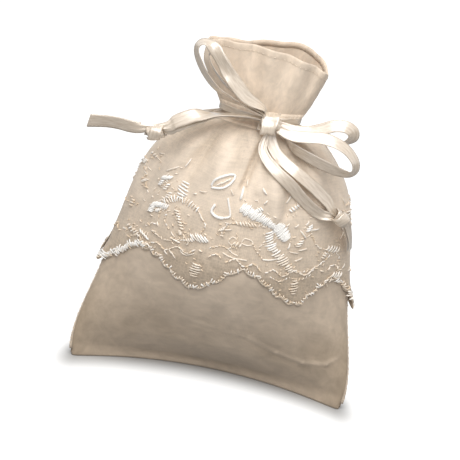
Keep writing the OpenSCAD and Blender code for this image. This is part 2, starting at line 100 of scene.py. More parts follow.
bpy.ops.mesh.primitive_plane_add(size=6)
table = bpy.context.object
table.name = "table_top"
table_white = bpy.data.materials.new("table_white")
table_white.use_nodes = True
tree = table_white.node_tree
tree.nodes.remove(tree.nodes["Principled BSDF"])
# The table glows white to the camera, less so near the bowed line that the pouch stands on: there
# the glow fades out, which paints a grey band round the pouch as shadow, and its real shadow shows
# there too. In metres the line is y = line_back - line_bow * x * x, as far out as line_half, and
# beyond that a distance counts past_end times
line_bow = 7.34
line_back = 0.005
line_half = 0.0355
past_end = 1.7
shadow_reach = 0.014
full_glow = 0.8
table_place = add_node(tree, "TexCoord")
table_split = add_node(tree, "SeparateXYZ", {0: table_place.outputs["Object"]})
table_x = table_split.outputs["X"]
table_bend = math_of(tree, "MULTIPLY", math_of(tree, "MULTIPLY", table_x, table_x), line_bow)
table_bend = math_of(tree, "ADD", table_bend, table_split.outputs["Y"])
table_gap = math_of(tree, "SUBTRACT", table_bend, line_back)
table_gap = math_of(tree, "MULTIPLY", table_gap, table_gap)
table_side = math_of(tree, "SUBTRACT", math_of(tree, "ABSOLUTE", table_x), line_half)
table_side = math_of(tree, "MULTIPLY", math_of(tree, "MAXIMUM", table_side, 0.0), past_end)
table_side = math_of(tree, "MULTIPLY", table_side, table_side)
table_reach = math_of(tree, "SQRT", math_of(tree, "ADD", table_gap, table_side))
table_fade = range_of(
    tree, table_reach, 0.0, shadow_reach, 0.0, full_glow, interpolation_type="SMOOTHSTEP"
)
table_rays = add_node(tree, "LightPath")
table_level = math_of(tree, "MULTIPLY", table_rays.outputs["Is Camera Ray"], table_fade)
table_glow = add_node(tree, "Emission", {"Strength": table_level})
table_matt = add_node(tree, "BsdfDiffuse", {"Color": paint(172, 172, 172)})
table_sum = add_node(tree, "AddShader", {0: table_matt.outputs[0], 1: table_glow.outputs[0]})
wire(tree, tree.nodes["Material Output"], {"Surface": table_sum.outputs[0]})
table.data.materials.append(table_white)

room = bpy.data.worlds.new("pale_room")
bpy.context.scene.world = room
room.use_nodes = True
tree = room.node_tree
room_light = tree.nodes["Background"]
wire(tree, room_light, {"Color": (1.0, 0.985, 0.965, 1.0), "Strength": 0.44})
room_seen = add_node(tree, "Background", {"Color": (1, 1, 1, 1), "Strength": 1.0})
room_rays = add_node(tree, "LightPath")
room_shine = math_of(
    tree, "MAXIMUM", room_rays.outputs["Is Camera Ray"], room_rays.outputs["Is Glossy Ray"]
)
room_clear = math_of(tree, "MAXIMUM", room_shine, room_rays.outputs["Is Transmission Ray"])
room_mix = add_node(
    tree, "MixShader", {0: room_clear, 1: room_light.outputs[0], 2: room_seen.outputs[0]}
)
wire(tree, tree.nodes["World Output"], {"Surface": room_mix.outputs[0]})

# Each lamp: name, place, size and power
lamps = [
    ("soft_box", (-0.04, -0.30, 0.62), 0.60, 4.3),
    ("front_card", (0.12, -0.75, 0.42), 0.30, 0.7),
]
lamp_target = Vector((0, 0, 0.045))
for lamp_name, lamp_place, lamp_size, lamp_power in lamps:
    bpy.ops.object.light_add(type="AREA", location=lamp_place)
    lamp = bpy.context.object
    lamp.name = lamp_name
    lamp.data.size = lamp_size
    lamp.data.energy = lamp_power
    lamp.data.color = (1.0, 0.985, 0.96)
    aim = lamp_target - Vector(lamp_place)
    lamp.rotation_euler = aim.to_track_quat("-Z", "Y").to_euler()


# Front and back cloth
# Two pieces of sheer ivory organza, each cut in one with its header. They are sewn to each other
# round three sides and gathered at the neck.

FRONT = -1
BACK = 1
SIDES = ((FRONT, "front"), (BACK, "back"))
MM = 0.001
# Heights: top of the bottom seam, where the gathers begin and sharpen, neck, casing's top, rim
FOOT_Z = 1.6
SHOULDER_Z = 48.5
GATHER_Z = 64.25
NECK_Z = 74.0
CASING_TOP = 77.9
RIM_Z = 93.5
SEAM_BOW = 10
# Degrees of the gathers' wave from the middle to a side seam
GATHER_TURN = 900
# How far the outer faces of the cloth and of the lace stand off the cloth's inner face
CLOTH_OFF = 0.6
LACE_OFF = 1.14
# Half the cloth's flat width, its length for each mm of height, and the angle that crowds its
# places towards the side seams
HALF_CLOTH = 39
CLOTH_RUN = 1.1
PACK_ANGLE = 80
POUCH_WIDTHS = [(0, 36.8), (4, 37.1), (28, 32.5), (40, 30.2), (57, 26.3), (71.5, 15.6), (74, 8.4)]
POUCH_DEPTHS = [(1.6, 0.4), (12, 9.5), (40, 19), (57, 16.5), (71.5, 9), (74, 5.4)]
HEADER_WIDTHS = [(74, 8.4), (77.9, 10.9), (84, 13.1), (93.5, 16)]
HEADER_DEPTHS = [(74, 5.4), (77.9, 5.4), (93.5, 4.8)]
# Each crease in the gathered front: upper end, lower end, how broad, how deep or high
CREASES = [
    (1.9, 70, -0.6, 60.0, 1.0, -1.3),
    (5.6, 69, 8.6, 54.0, 1.3, 0.8),
    (8.8, 68, 11.4, 55, 1.1, -0.8),
    (-5.0, 71, -7.0, 61, 1.4, 0.45),
    (-9.6, 70, -14.6, 57, 1.0, -0.4),
    (2.8, 71, 3.8, 60, 0.9, 0.35),
    (-14, 68, -20, 56, 1.3, 0.3),
    (-19, 63, -25, 50, 1.2, -0.3),
    (15, 67, 21, 55, 1.2, 0.3),
    (19, 63, 24, 50, 1.2, -0.3),
    (-6.5, 19.3, 8.8, 17, 0.5, 0.22),
    (8.8, 17, 16.7, 13.5, 0.5, 0.34),
    (16.7, 13.5, 24.4, 11.6, 0.5, 0.42),
    (24.4, 11.6, 30.6, 12.4, 0.5, 0.42),
    (30.6, 12.4, 33.4, 14.9, 0.5, 0.38),
    (-26, 26, -12, 13, 3.0, -0.2),
    (-2, 16, 10, 9, 2.8, 0.25),
    (14, 13, 28, 8, 2.4, -0.3),
]


def ease(low, high, value):
    """A smooth step from 0 at low to 1 at high."""
    part = max(0.0, min(1.0, (value - low) / (high - low)))
    return part * part * (3 - 2 * part)


def grade(stations, i):
    """The slope of the smooth line at one of its stations."""
    rises = [
        (stations[k + 1][1] - stations[k][1]) / (stations[k + 1][0] - stations[k][0])
        for k in range(max(0, i - 1), min(len(stations) - 1, i + 1))
    ]
    if len(rises) == 1:
        return rises[0]
    if rises[0] * rises[1] <= 0:
        return 0.0
    return 2 * rises[0] * rises[1] / (rises[0] + rises[1])


def along(stations, value):
    """A smooth line through stations of place and size."""
    i = max([0] + [k for k in range(len(stations) - 1) if value >= stations[k][0]])
    span = stations[i + 1][0] - stations[i][0]
    f = (value - stations[i][0]) / span
    start = stations[i][1] * (2 * f**3 - 3 * f**2 + 1)
    end = stations[i + 1][1] * (3 * f**2 - 2 * f**3)
    leave = grade(stations, i) * span * (f**3 - 2 * f**2 + f)
    arrive = grade(stations, i + 1) * span * (f**3 - f**2)
    return start + end + leave + arrive


def half_width(z, hand=1):
    """Half the width at height z; the header leans out a little more on the left."""
    lean = 2.4 * ease(76.5, 87, z) - 1.5 * ease(86, 92, z) if hand < 0 else 0.0
    return along(POUCH_WIDTHS if z <= NECK_Z else HEADER_WIDTHS, z) + lean


def half_depth(z):
    """Half the depth at height z."""
    return along(POUCH_DEPTHS if z <= NECK_Z else HEADER_DEPTHS, z)


def across(t):
    """Place t over the cloth, -1 to 1 between the side seams, as a share of the half width."""
    return math.sin(math.radians(PACK_ANGLE * t)) / math.sin(math.radians(PACK_ANGLE))


def seam_bow(u, z):
    """How far the bottom seam bows to the back between the corners."""
    return SEAM_BOW * (1 - ease(0, 40, z)) * (0.5 - u * u)


def fold_depth(z):
    """How deep the gathers are: sharp at the neck, broad on the shoulder, open in the header."""
    if z > NECK_Z:
        return 0.15 + 0.65 * ease(CASING_TOP, RIM_Z, z)
    drawn = ease(GATHER_Z, NECK_Z, z)
    return 0.15 * drawn - 1.1 * ease(SHOULDER_Z, GATHER_Z, z) * (1 - drawn)


def inner_face(side, t, z):
    """The cloth's inner face in plan, in mm."""
    u = across(t)
    curve = 0.8 - 0.25 * ease(SHOULDER_Z, NECK_Z, z)
    phase = 90 if side == BACK else 0
    fold = fold_depth(z) * math.cos(math.radians(GATHER_TURN * t + phase)) * (1 - t**4)
    bulge = half_depth(z) * max(0.0, 1 - u * u) ** curve
    return Vector((half_width(z, u) * u, seam_bow(u, z) + side * (0.3 + bulge + fold)))


def crumple(side, t, z):
    """How far the soft cloth stands out of its plain form here, in mm."""
    x = -side * half_width(z) * across(t)
    out = 0.0
    for x0, z0, x1, z1, broad, high in CREASES:
        run_x = x1 - x0
        run_z = z1 - z0
        f = ((x - x0) * run_x + (z - z0) * run_z) / (run_x**2 + run_z**2)
        f = max(0.0, min(1.0, f))
        gap = (x - x0 - f * run_x) ** 2 + (z - z0 - f * run_z) ** 2
        out += high * math.exp(-gap / broad**2)
    out += 0.28 * ease(58, 70, z) * math.sin(22.5 * t + 0.8)
    out += 0.34 * noise.noise(Vector((x * 0.11, z * 0.09, 4.0 * side)))
    out *= ease(3, 13, z) * (1 - ease(69, 73, z))
    out += 0.3 * ease(80, 86, z) * noise.noise(Vector((x * 0.25, z * 0.08, 9.0 * side)))
    return out * (1 - t**6)


def on_cloth(side, t, z, off):
    """A point that stands off the cloth's inner face by off, in mm."""
    run = inner_face(side, min(1.0, t + 0.01), z) - inner_face(side, max(-1.0, t - 0.01), z)
    out = Vector((run.y, -run.x)).normalized() * -side
    place = inner_face(side, t, z) + out * off
    return Vector((place.x, place.y, z))


def mouth_z(side, t):
    """Height of the rim, which rolls up on the right at the back and dips there in front."""
    roll = math.sin(math.pi * t)
    if side == BACK:
        wave = (1.8 * roll - 0.2) * (1 - t * t)
    else:
        wave = -0.4 * max(0.0, roll)
    return RIM_Z - 3.5 * t * t - 1.5 * t + wave


def new_piece(name, points, faces, finish):
    """A mesh object at the origin from points in mm, smooth and with one material."""
    mesh = bpy.data.meshes.new(name)
    mesh.from_pydata([tuple(p * MM) for p in points], [], faces)
    mesh.polygons.foreach_set("use_smooth", [True] * len(mesh.polygons))
    mesh.materials.append(finish)
    piece = bpy.data.objects.new(name, mesh)
    bpy.context.scene.collection.objects.link(piece)
    return piece


def tube_faces(first, rings, sides, turned=False):
    """Faces of a closed tube whose rings of points start at first; turned faces look the other way."""
    faces = []
    for i in range(rings - 1):
        for k in range(sides):
            a = first + i * sides + k
            b = first + i * sides + (k + 1) % sides
            faces.append((a, a + sides, b + sides, b) if turned else (a, b, b + sides, a + sides))
    near = [first + k for k in range(sides)]
    far = [k + (rings - 1) * sides for k in near]
    if turned:
        far.reverse()
    else:
        near.reverse()
    return faces + [tuple(near), tuple(far)]


def sew_sheet(name, rows, columns, place, finish, thick):
    """A sheet of cloth: place(row, column) gives its point, its cloth place in mm and its tone, with any
    painted shade in it.
    """
    points = []
    lays = []
    tones_and_shades = []
    for row in range(rows + 1):
        for column in range(columns + 1):
            point, lay, tone_and_shade = place(row, column)
            points.append(point)
            lays.append(lay)
            tones_and_shades.append(tone_and_shade)
    faces = []
    for row in range(rows):
        for column in range(columns):
            k = row * (columns + 1) + column
            faces.append((k, k + 1, k + columns + 2, k + columns + 1))
    piece = new_piece(name, points, faces, finish)
    map_cloth(piece, lays)
    tone_and_shade_layer = piece.data.attributes.new("tone_and_shade", "FLOAT", "POINT")
    tone_and_shade_layer.data.foreach_set("value", tones_and_shades)
    wall = piece.modifiers.new("cloth_thickness", "SOLIDIFY")
    wall.thickness = thick * MM
    wall.offset = -1
    return piece


def map_cloth(piece, lays):
    """The cloth's own flat places, in mm, as the map that weave and threads follow."""
    layer = piece.data.uv_layers.new(name="cloth")
    for loop in piece.data.loops:
        layer.data[loop.index].uv = lays[loop.vertex_index]


# The wave texture's scale for bands 1 mm apart
WAVE_SCALE = 0.314


def woven_finish(name, light, dark, thread, rough, sheen, bump, mottle, slubs, weave_shade):
    """Woven cloth: crossing threads, slubs and soft mottling, darker where its tone is low; that tone holds
    painted shade as well as the cloth's own tone.
    """
    finish = bpy.data.materials.new(name)
    finish.use_nodes = True
    tree = finish.node_tree
    lay = add_node(tree, "UVMap", uv_map="cloth", name="lay").outputs[0]
    tone_and_shade = add_node(tree, "Attribute", attribute_name="tone_and_shade", name="tone_and_shade").outputs["Fac"]
    threads = {"Scale": WAVE_SCALE / thread, "Distortion": 0.6, "Detail Scale": 0.4, "Vector": lay}
    warp = add_node(tree, "TexWave", threads, bands_direction="X")
    weft = add_node(tree, "TexWave", threads, bands_direction="Y")
    weave = math_of(tree, "ADD", warp.outputs["Fac"], weft.outputs["Fac"])
    relief = add_node(tree, "Bump", {"Strength": bump, "Distance": 0.0002, "Height": weave}, name="relief")
    slub_lay = add_node(tree, "Mapping", {"Scale": slubs, "Vector": lay})
    slub = add_node(tree, "TexNoise", {"Scale": 1.0, "Detail": 3.0, "Vector": slub_lay.outputs[0]})
    cloud = add_node(
        tree, "TexNoise", {"Scale": 0.2, "Detail": 6.0, "Roughness": 0.62, "Distortion": 0.6, "Vector": lay}
    )
    blot = math_of(tree, "MULTIPLY_ADD", slub.outputs["Fac"], 0.4, cloud.outputs["Fac"])
    patch = math_of(tree, "MULTIPLY_ADD", blot, mottle, 0.93 - 0.7 * mottle)
    shade = math_of(tree, "MULTIPLY_ADD", weave, weave_shade, patch)
    base = add_node(tree, "Mix", {"A": dark, "B": light, "Factor": tone_and_shade}, data_type="RGBA")
    dye_and_shading = add_node(
        tree, "Mix", {"Factor": 1.0, "A": base.outputs["Result"], "B": shade},
        data_type="RGBA", blend_type="MULTIPLY", name="dye_and_shading"
    )
    wire(tree, tree.nodes["Principled BSDF"], {
        "Roughness": rough, "Specular IOR Level": 0.3, "Sheen Weight": sheen, "Sheen Roughness": 0.45,
        "Normal": relief.outputs[0], "Base Color": dye_and_shading.outputs["Result"]
    })
    return finish


# The dark colour is the bare sheer cloth low down with the shade of its unlit inside painted in; the light
# colour is the cloth under the lace and in the header
organza = woven_finish(
    "ivory_organza", paint(234, 217, 198), paint(168, 151, 131), thread=0.3, rough=0.55, sheen=0.25,
    bump=0.1, mottle=0.62, slubs=(0.3, 0.5, 1.0), weave_shade=0.03
)
# Heights of the rows of points, closer at the foot, the creases and the neck
CLOTH_LEVELS = [0.12, 0.6, 1.1]
for low, rise, steps in ((1.6, 6.4, 6), (8, 14, 24), (22, 38, 30), (60, 11, 18), (71, 3, 12)):
    CLOTH_LEVELS += [low + rise * i / steps for i in range(steps)]
CLOTH_LEVELS += [74 + 4.5 * i / 9 for i in range(10)]
HEADER_ROWS = 20
CLOTH_COLUMNS = 180


def cloth_place(side):
    """Where each point of one cloth lies, from the foot to the rim."""
    def place(row, column):
        t = -side * (2 * column / CLOTH_COLUMNS - 1)
        if row < len(CLOTH_LEVELS):
            z = CLOTH_LEVELS[row]
        else:
            step = (row - len(CLOTH_LEVELS) + 1) / HEADER_ROWS
            z = CLOTH_LEVELS[-1] + (mouth_z(side, t) - CLOTH_LEVELS[-1]) * step
        point = on_cloth(side, t, max(z, FOOT_Z), CLOTH_OFF + crumple(side, t, z))
        if z < 4:
            foot = seam_bow(across(t), z) + side * (1.62 - 0.9 * t**12)
            point.y += (foot - point.y) * (1 - ease(1.2, 4, z))
            point.z = z
        # Tone runs from the dark to the light colour. Painted shade: darker towards the side seams and
        # towards the bottom, a little lighter low in the middle, and darker in the creases and lighter on
        # the ridges of the crumpled cloth. It is also lighter from the lace's height up, lightest in the
        # header
        tone_and_shade = 0.34 * (1 - t * t) + 0.12 * (1 - t * t) * (1 - ease(4, 20, z))
        tone_and_shade += 0.36 * ease(12, 30, z)
        tone_and_shade += (1 - tone_and_shade) * ease(36, 44, z) * (0.8 + 0.2 * ease(74, 82, z))
        tone_and_shade += 0.42 * crumple(side, t, z) * (1 - ease(76, 80, z))
        return point, (HALF_CLOTH * t, CLOTH_RUN * z), tone_and_shade
    return place


for side, name in SIDES:
    rows = len(CLOTH_LEVELS) - 1 + HEADER_ROWS
    cloth = sew_sheet(name + "_cloth", rows, CLOTH_COLUMNS, cloth_place(side), organza, thick=0.28)
    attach(cloth, "pouch")
    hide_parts(name + "_panel", name + "_header")


# Side seams and bottom seam
# The edges of the two cloths, laid together and oversewn with ivory thread. The pouch stands on
# the bottom seam, a narrow folded ridge that bows to the back between its corners.

def ramp_of(tree, place, *stops):
    """A colour ramp of two stops, each a place and a colour, as an output."""
    ramp = add_node(tree, "ValToRGB", {"Fac": place})
    for element, (spot, colour) in zip(ramp.color_ramp.elements, stops):
        element.position = spot
        element.color = colour
    return ramp.outputs["Color"]


thread_finish = bpy.data.materials.new("ivory_thread")
thread_finish.use_nodes = True
tree = thread_finish.node_tree
thread_place = add_node(tree, "TexCoord").outputs["Object"]
thread_tone = add_node(tree, "TexNoise", {"Scale": 520.0, "Detail": 3.0, "Vector": thread_place})
thread_bleach_and_shine = add_node(tree, "Attribute", attribute_name="bleach_and_shine")
thread_mix = math_of(tree, "MULTIPLY_ADD", thread_tone.outputs["Fac"], 0.4, thread_bleach_and_shine.outputs["Fac"])
thread_dye = ramp_of(tree, thread_mix, (0.3, paint(236, 216, 190)), (1.0, paint(255, 253, 250)))
thread_twist = add_node(
    tree, "TexWave", {"Scale": 1100.0, "Vector": thread_place}, bands_direction="DIAGONAL"
)
thread_relief = add_node(
    tree, "Bump", {"Strength": 0.3, "Distance": 0.0001, "Height": thread_twist.outputs["Fac"]}
)
wire(tree, tree.nodes["Principled BSDF"], {
    "Roughness": 0.3, "Specular IOR Level": 0.7, "Sheen Weight": 0.2,
    "Base Color": thread_dye, "Normal": thread_relief.outputs[0]
})


def lay_thread(book, path, thick, lift, bleach_and_shine=0.3):
    """Adds a thread along a path to a book of points, faces and bleach; lift points off the cloth."""
    points, faces, shades = book
    sides = 5
    first = len(points)
    for i, place in enumerate(path):
        ahead = path[min(i + 1, len(path) - 1)]
        behind = path[max(i - 1, 0)]
        run = (ahead - behind).normalized()
        left = lift.cross(run).normalized()
        rise = run.cross(left)
        taper = 0.55 if i in (0, len(path) - 1) else 1.0
        for k in range(sides):
            turn = 2 * math.pi * k / sides
            points.append(place + (left * math.cos(turn) + rise * math.sin(turn)) * thick / 2 * taper)
            shades.append(bleach_and_shine)
    faces.extend(tube_faces(first, len(path), sides))


def thread_piece(name, book):
    """All the threads of a book as one piece, each as white as it was laid."""
    piece = new_piece(name, book[0], book[1], thread_finish)
    layer = piece.data.attributes.new("bleach_and_shine", "FLOAT", "POINT")
    layer.data.foreach_set("value", book[2])
    return piece


SEAM_ROWS = 90
OVERCAST_STITCHES = 62
OVERCAST_PITCH = 1.38


def seam_piece(name, hand):
    """One side seam, a narrow strip from the bottom corner to the rim, with its lip outside."""
    def place(row, column):
        z = 1.7 + (mouth_z(FRONT, hand) - 2.2) * row / SEAM_ROWS
        reach = -2.0 + 2.75 * column / 5
        ripple = 0.04 * math.sin(2.1 * row)
        x = half_width(z, hand) + reach + (ripple if column == 5 else 0)
        y = seam_bow(x / half_width(z), z) + 0.27
        return Vector((hand * x, y, z)), (reach, z), 0.7
    return sew_sheet(name, SEAM_ROWS, 5, place, organza, thick=0.54)


seams = {}
for hand, name in ((-1, "left"), (1, "right")):
    seam = seam_piece(name + "_side_seam_strip", hand)
    if hand > 0:
        seam.data.flip_normals()
    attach(seam, "pouch")
    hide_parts(name + "_side_seam")
    overcast = ([], [], [])
    for step in range(OVERCAST_STITCHES):
        z = 3.0 + OVERCAST_PITCH * step
        lip = half_width(z, hand) + 0.8
        edge = seam_bow(lip / half_width(z, hand), z)
        path = [
            Vector((hand * (lip - 0.75), edge - 0.33, z)),
            Vector((hand * (lip - 0.1), edge - 0.30, z + 0.3)),
            Vector((hand * (lip + 0.02), edge, z + 0.45)),
            Vector((hand * (lip - 0.1), edge + 0.30, z + 0.6)),
            Vector((hand * (lip - 0.75), edge + 0.33, z + 0.9)),
        ]
        lay_thread(overcast, path, thick=0.12, lift=Vector((0, 0, 1)))
    stitches = thread_piece(name + "_seam_stitches", overcast)
    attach(stitches, "pouch")
    seams[name] = [seam, stitches]

ridge_points = []
ridge_lays = []
RIDGE_STEPS = 120
RIDGE_SIDES = 14
for step in range(RIDGE_STEPS + 1):
    t = 2 * step / RIDGE_STEPS - 1
    u = across(t)
    x = half_width(1.0) * u
    y = seam_bow(u, 1.0)
    half = 1.25 - 0.8 * abs(t) ** 12
    for k in range(RIDGE_SIDES):
        turn = 2 * math.pi * k / RIDGE_SIDES
        flat_y = math.copysign(abs(math.cos(turn)) ** 0.6, math.cos(turn))
        flat_z = math.copysign(abs(math.sin(turn)) ** 0.45, math.sin(turn))
        wave = 0.06 * math.sin(0.9 * step + k)
        ridge_points.append(Vector((x, y + (half + wave) * flat_y, 0.86 + 0.86 * flat_z)))
        ridge_lays.append((HALF_CLOTH * t, 0.4 * k))
ridge_faces = tube_faces(0, RIDGE_STEPS + 1, RIDGE_SIDES)
bottom_ridge = new_piece("bottom_seam_ridge", ridge_points, ridge_faces, organza)
map_cloth(bottom_ridge, ridge_lays)
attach(bottom_ridge, "pouch")
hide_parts("bottom_seam")


# Lace overlays
# A band of ivory machine lace over each face, caught in the side seams and gathered with the
# cloth at the neck. Fine net with a sheer scalloped border below and a denser ground above.

# Lower edge and inner corded line on the front, as place between the seams and height
LACE_EDGE = [
    (-1, 27.5), (-0.8, 31), (-0.57, 36.8), (-0.45, 36.2), (-0.3, 32.4), (-0.18, 30.4), (-0.06, 34),
    (0.08, 38.8), (0.2, 36.4), (0.33, 31.8), (0.43, 30), (0.55, 33.8), (0.72, 36.8), (0.87, 34.2), (1, 29.5)
]
INNER_LINE = [
    (-1, 38), (-0.77, 38.2), (-0.62, 38.8), (-0.5, 39.2), (-0.33, 40.4), (-0.15, 41.8), (0.07, 41.4),
    (0.3, 39.8), (0.5, 40.2), (0.7, 40.6), (1, 39)
]
LACE_TOP = 73.2
LOBE_PITCH = 3.3
LINE_PITCH = 2.6
LACE_ROWS = 64
LACE_COLUMNS = 190


def lace_edge(side, t):
    """Height of the lace's lower edge, with its row of small lobes."""
    return along(LACE_EDGE, -side * t) + 0.5 - 1.0 * abs(math.sin(math.pi * HALF_CLOTH * t / LOBE_PITCH))


def lace_point(side, t, z, lift):
    """A point on the lace's outer face, or standing off it by lift."""
    above = max(0.0, z - lace_edge(side, t))
    tip = 1.5 * ease(0.86, 1.0, abs(t)) * math.exp(-((above / 3.5) ** 2))
    sewn = 0.26 * math.exp(-((above / 2.0) ** 2))
    point = on_cloth(side, t, z, LACE_OFF + crumple(side, t, z) - sewn + lift)
    point.x += math.copysign(tip, t)
    return point


def lace_finish():
    """Net lace: fine holes and raised flecks, open in the border and dense above."""
    finish = woven_finish(
        "ivory_lace", paint(236, 220, 202), paint(198, 181, 161), thread=0.42, rough=0.55, sheen=0.3,
        bump=0.12, mottle=0.55, slubs=(0.18, 1.8, 1.0), weave_shade=0.02
    )
    tree = finish.node_tree
    lay = tree.nodes["lay"].outputs[0]
    net = add_node(
        tree, "TexVoronoi", {"Scale": 1.15, "Randomness": 0.45, "Vector": lay}, feature="DISTANCE_TO_EDGE"
    )
    hole = range_of(tree, net.outputs["Distance"], 0.06, 0.26, 0.06, -0.06)
    fleck = add_node(tree, "TexNoise", {"Scale": 0.9, "Detail": 5.0, "Roughness": 0.7, "Vector": lay})
    raised = range_of(tree, fleck.outputs["Fac"], 0.36, 0.66, -0.12, 0.12)
    border = range_of(tree, tree.nodes["tone_and_shade"].outputs["Fac"], 0.0, 1.0, 1.1, 0.15)
    ground = math_of(tree, "MULTIPLY_ADD", math_of(tree, "ADD", raised, hole), border, 1.0)
    holed = add_node(
        tree, "Mix", {"Factor": 1.0, "A": tree.nodes["dye_and_shading"].outputs["Result"], "B": ground},
        data_type="RGBA", blend_type="MULTIPLY"
    )
    woven_relief = tree.nodes["relief"].outputs[0]
    net_relief = add_node(
        tree, "Bump", {"Strength": 0.25, "Distance": 0.0002, "Height": ground, "Normal": woven_relief}
    )
    wire(tree, tree.nodes["Principled BSDF"], {
        "Base Color": holed.outputs["Result"], "Normal": net_relief.outputs[0]
    })
    return finish


lace_net = lace_finish()


def lace_place(side):
    """Where each point of one lace lies, from its lower edge to the neck."""
    def place(row, column):
        t = -side * (2 * column / LACE_COLUMNS - 1)
        low = lace_edge(side, t)
        z = low + (LACE_TOP - low) * row / LACE_ROWS
        line = along(INNER_LINE, -side * t)
        # Tone steps up from the open border to the denser ground, then rises slowly for 20 mm above the
        # inner line; that slow rise is painted shade, darker towards the bottom. Also painted shade and
        # highlight: darker in the creases and lighter on the ridges, and darker high up towards the left
        tone_and_shade = 0.4 * ease(line - 4, line + 2, z) + 0.6 * ease(line, line + 20, z)
        tone_and_shade += 0.3 * crumple(side, t, z) - 0.22 * ease(56, 68, z) * (1 - t)
        return lace_point(side, t, z, 0), (HALF_CLOTH * t, CLOTH_RUN * z), tone_and_shade
    return place


for side, name in SIDES:
    lace = sew_sheet(name + "_lace_net", LACE_ROWS, LACE_COLUMNS, lace_place(side), lace_net, thick=0.2)
    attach(lace, "pouch")
    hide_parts(name + "_lace")


# Stitched edge of the lace
# A thin ivory cord just inside the scallops, covered with short buttonhole stitches that stand
# square to the edge. Below it a narrow rim of bare net is left as a sheer fringe.

def seam_place(x, z):
    """The place between the side seams of a point x mm from the middle."""
    share = max(-0.998, min(0.998, x / half_width(z)))
    return math.degrees(math.asin(share * math.sin(math.radians(PACK_ANGLE)))) / PACK_ANGLE


def on_lace(side, x, z, lift):
    """A point on the lace by its place across and up as seen on the front."""
    return lace_point(side, seam_place(-side * x, z), z, lift)


def sew_bar(book, side, spot, turn, length, thick, high, bleach_and_shine=0.3):
    """One straight stitch, raised in its middle, that lies at an angle on the lace."""
    way = Vector((math.cos(turn), math.sin(turn))) * length / 2
    path = []
    for k, lift in ((-1.0, 0.0), (-0.62, 0.75), (0.0, 1.0), (0.62, 0.75), (1.0, 0.0)):
        place = spot + way * k
        path.append(on_lace(side, place.x, place.y, lift * high))
    lay_thread(book, path, thick, Vector((0, side, 0)), bleach_and_shine)


def spaced(line, step):
    """Points at even steps along a line of points, each with the line's direction there."""
    made = []
    left = 0.0
    for a, b in zip(line, line[1:]):
        gap = (b - a).length
        while left < gap:
            made.append((a + (b - a) * left / gap, math.atan2(b.y - a.y, b.x - a.x)))
            left += step
        left -= gap
    return made


EDGE_STEPS = 300
LINE_STEPS = 240


def edge_line(raise_by):
    """The lower edge of the lace, across and up, raised a little."""
    line = []
    for i in range(EDGE_STEPS + 1):
        t = -0.992 + 1.984 * i / EDGE_STEPS
        z = lace_edge(FRONT, t) + raise_by
        line.append(Vector((half_width(z) * across(t), z)))
    return line


def edge_threads(side):
    """The cord and stitches along the lower edge and the inner line of one lace."""
    book = ([], [], [])
    dice = random.Random(7)
    cord = [on_lace(side, p.x, p.y, 0.1) for p in edge_line(0.75)]
    lay_thread(book, cord, thick=0.38, lift=Vector((0, side, 0)))
    for spot, turn in spaced(edge_line(1.05), 0.7):
        lean = turn + math.pi / 2 + 1.3 * (dice.random() - 0.5)
        stitch = 0.7 + 0.75 * dice.random()
        stray = Vector((0.4 * (dice.random() - 0.5), 0.8 * (dice.random() - 0.5)))
        thick = 0.32 + 0.16 * dice.random()
        sew_bar(book, side, spot + stray, lean, stitch, thick, 0.34, 0.8 * dice.random())
    # The far left scallop is worked over twice in thicker stitches, painted whiter for a painted shine
    for spot, turn in spaced([p for p in edge_line(1.25) if p.x < -21.5], 0.6):
        lean = turn + 0.6 + 1.4 * dice.random()
        sew_bar(book, side, spot, lean, 0.9 + 0.9 * dice.random(), 0.46, 0.4, 0.6 + 0.6 * dice.random())
    line = []
    for i in range(LINE_STEPS + 1):
        t = -0.985 + 1.97 * i / LINE_STEPS
        wave = math.sin(math.pi * HALF_CLOTH * t / LINE_PITCH + 2 * math.sin(5 * t))
        z = along(INNER_LINE, t) + 0.7 * wave
        line.append(Vector((half_width(z) * across(t), z)))
    for spot, turn in spaced(line, 1.0):
        if dice.random() < 0.82:
            lean = turn + 0.7 * (dice.random() - 0.5)
            stitch = 0.8 + 0.5 * dice.random()
            sew_bar(book, side, spot, lean, stitch, 0.36 + 0.12 * dice.random(), 0.25, 0.6 * dice.random())
    return book


for side, name in SIDES:
    edging = thread_piece(name + "_lace_cord", edge_threads(side))
    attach(edging, "pouch")
    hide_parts(name + "_lace_edging")
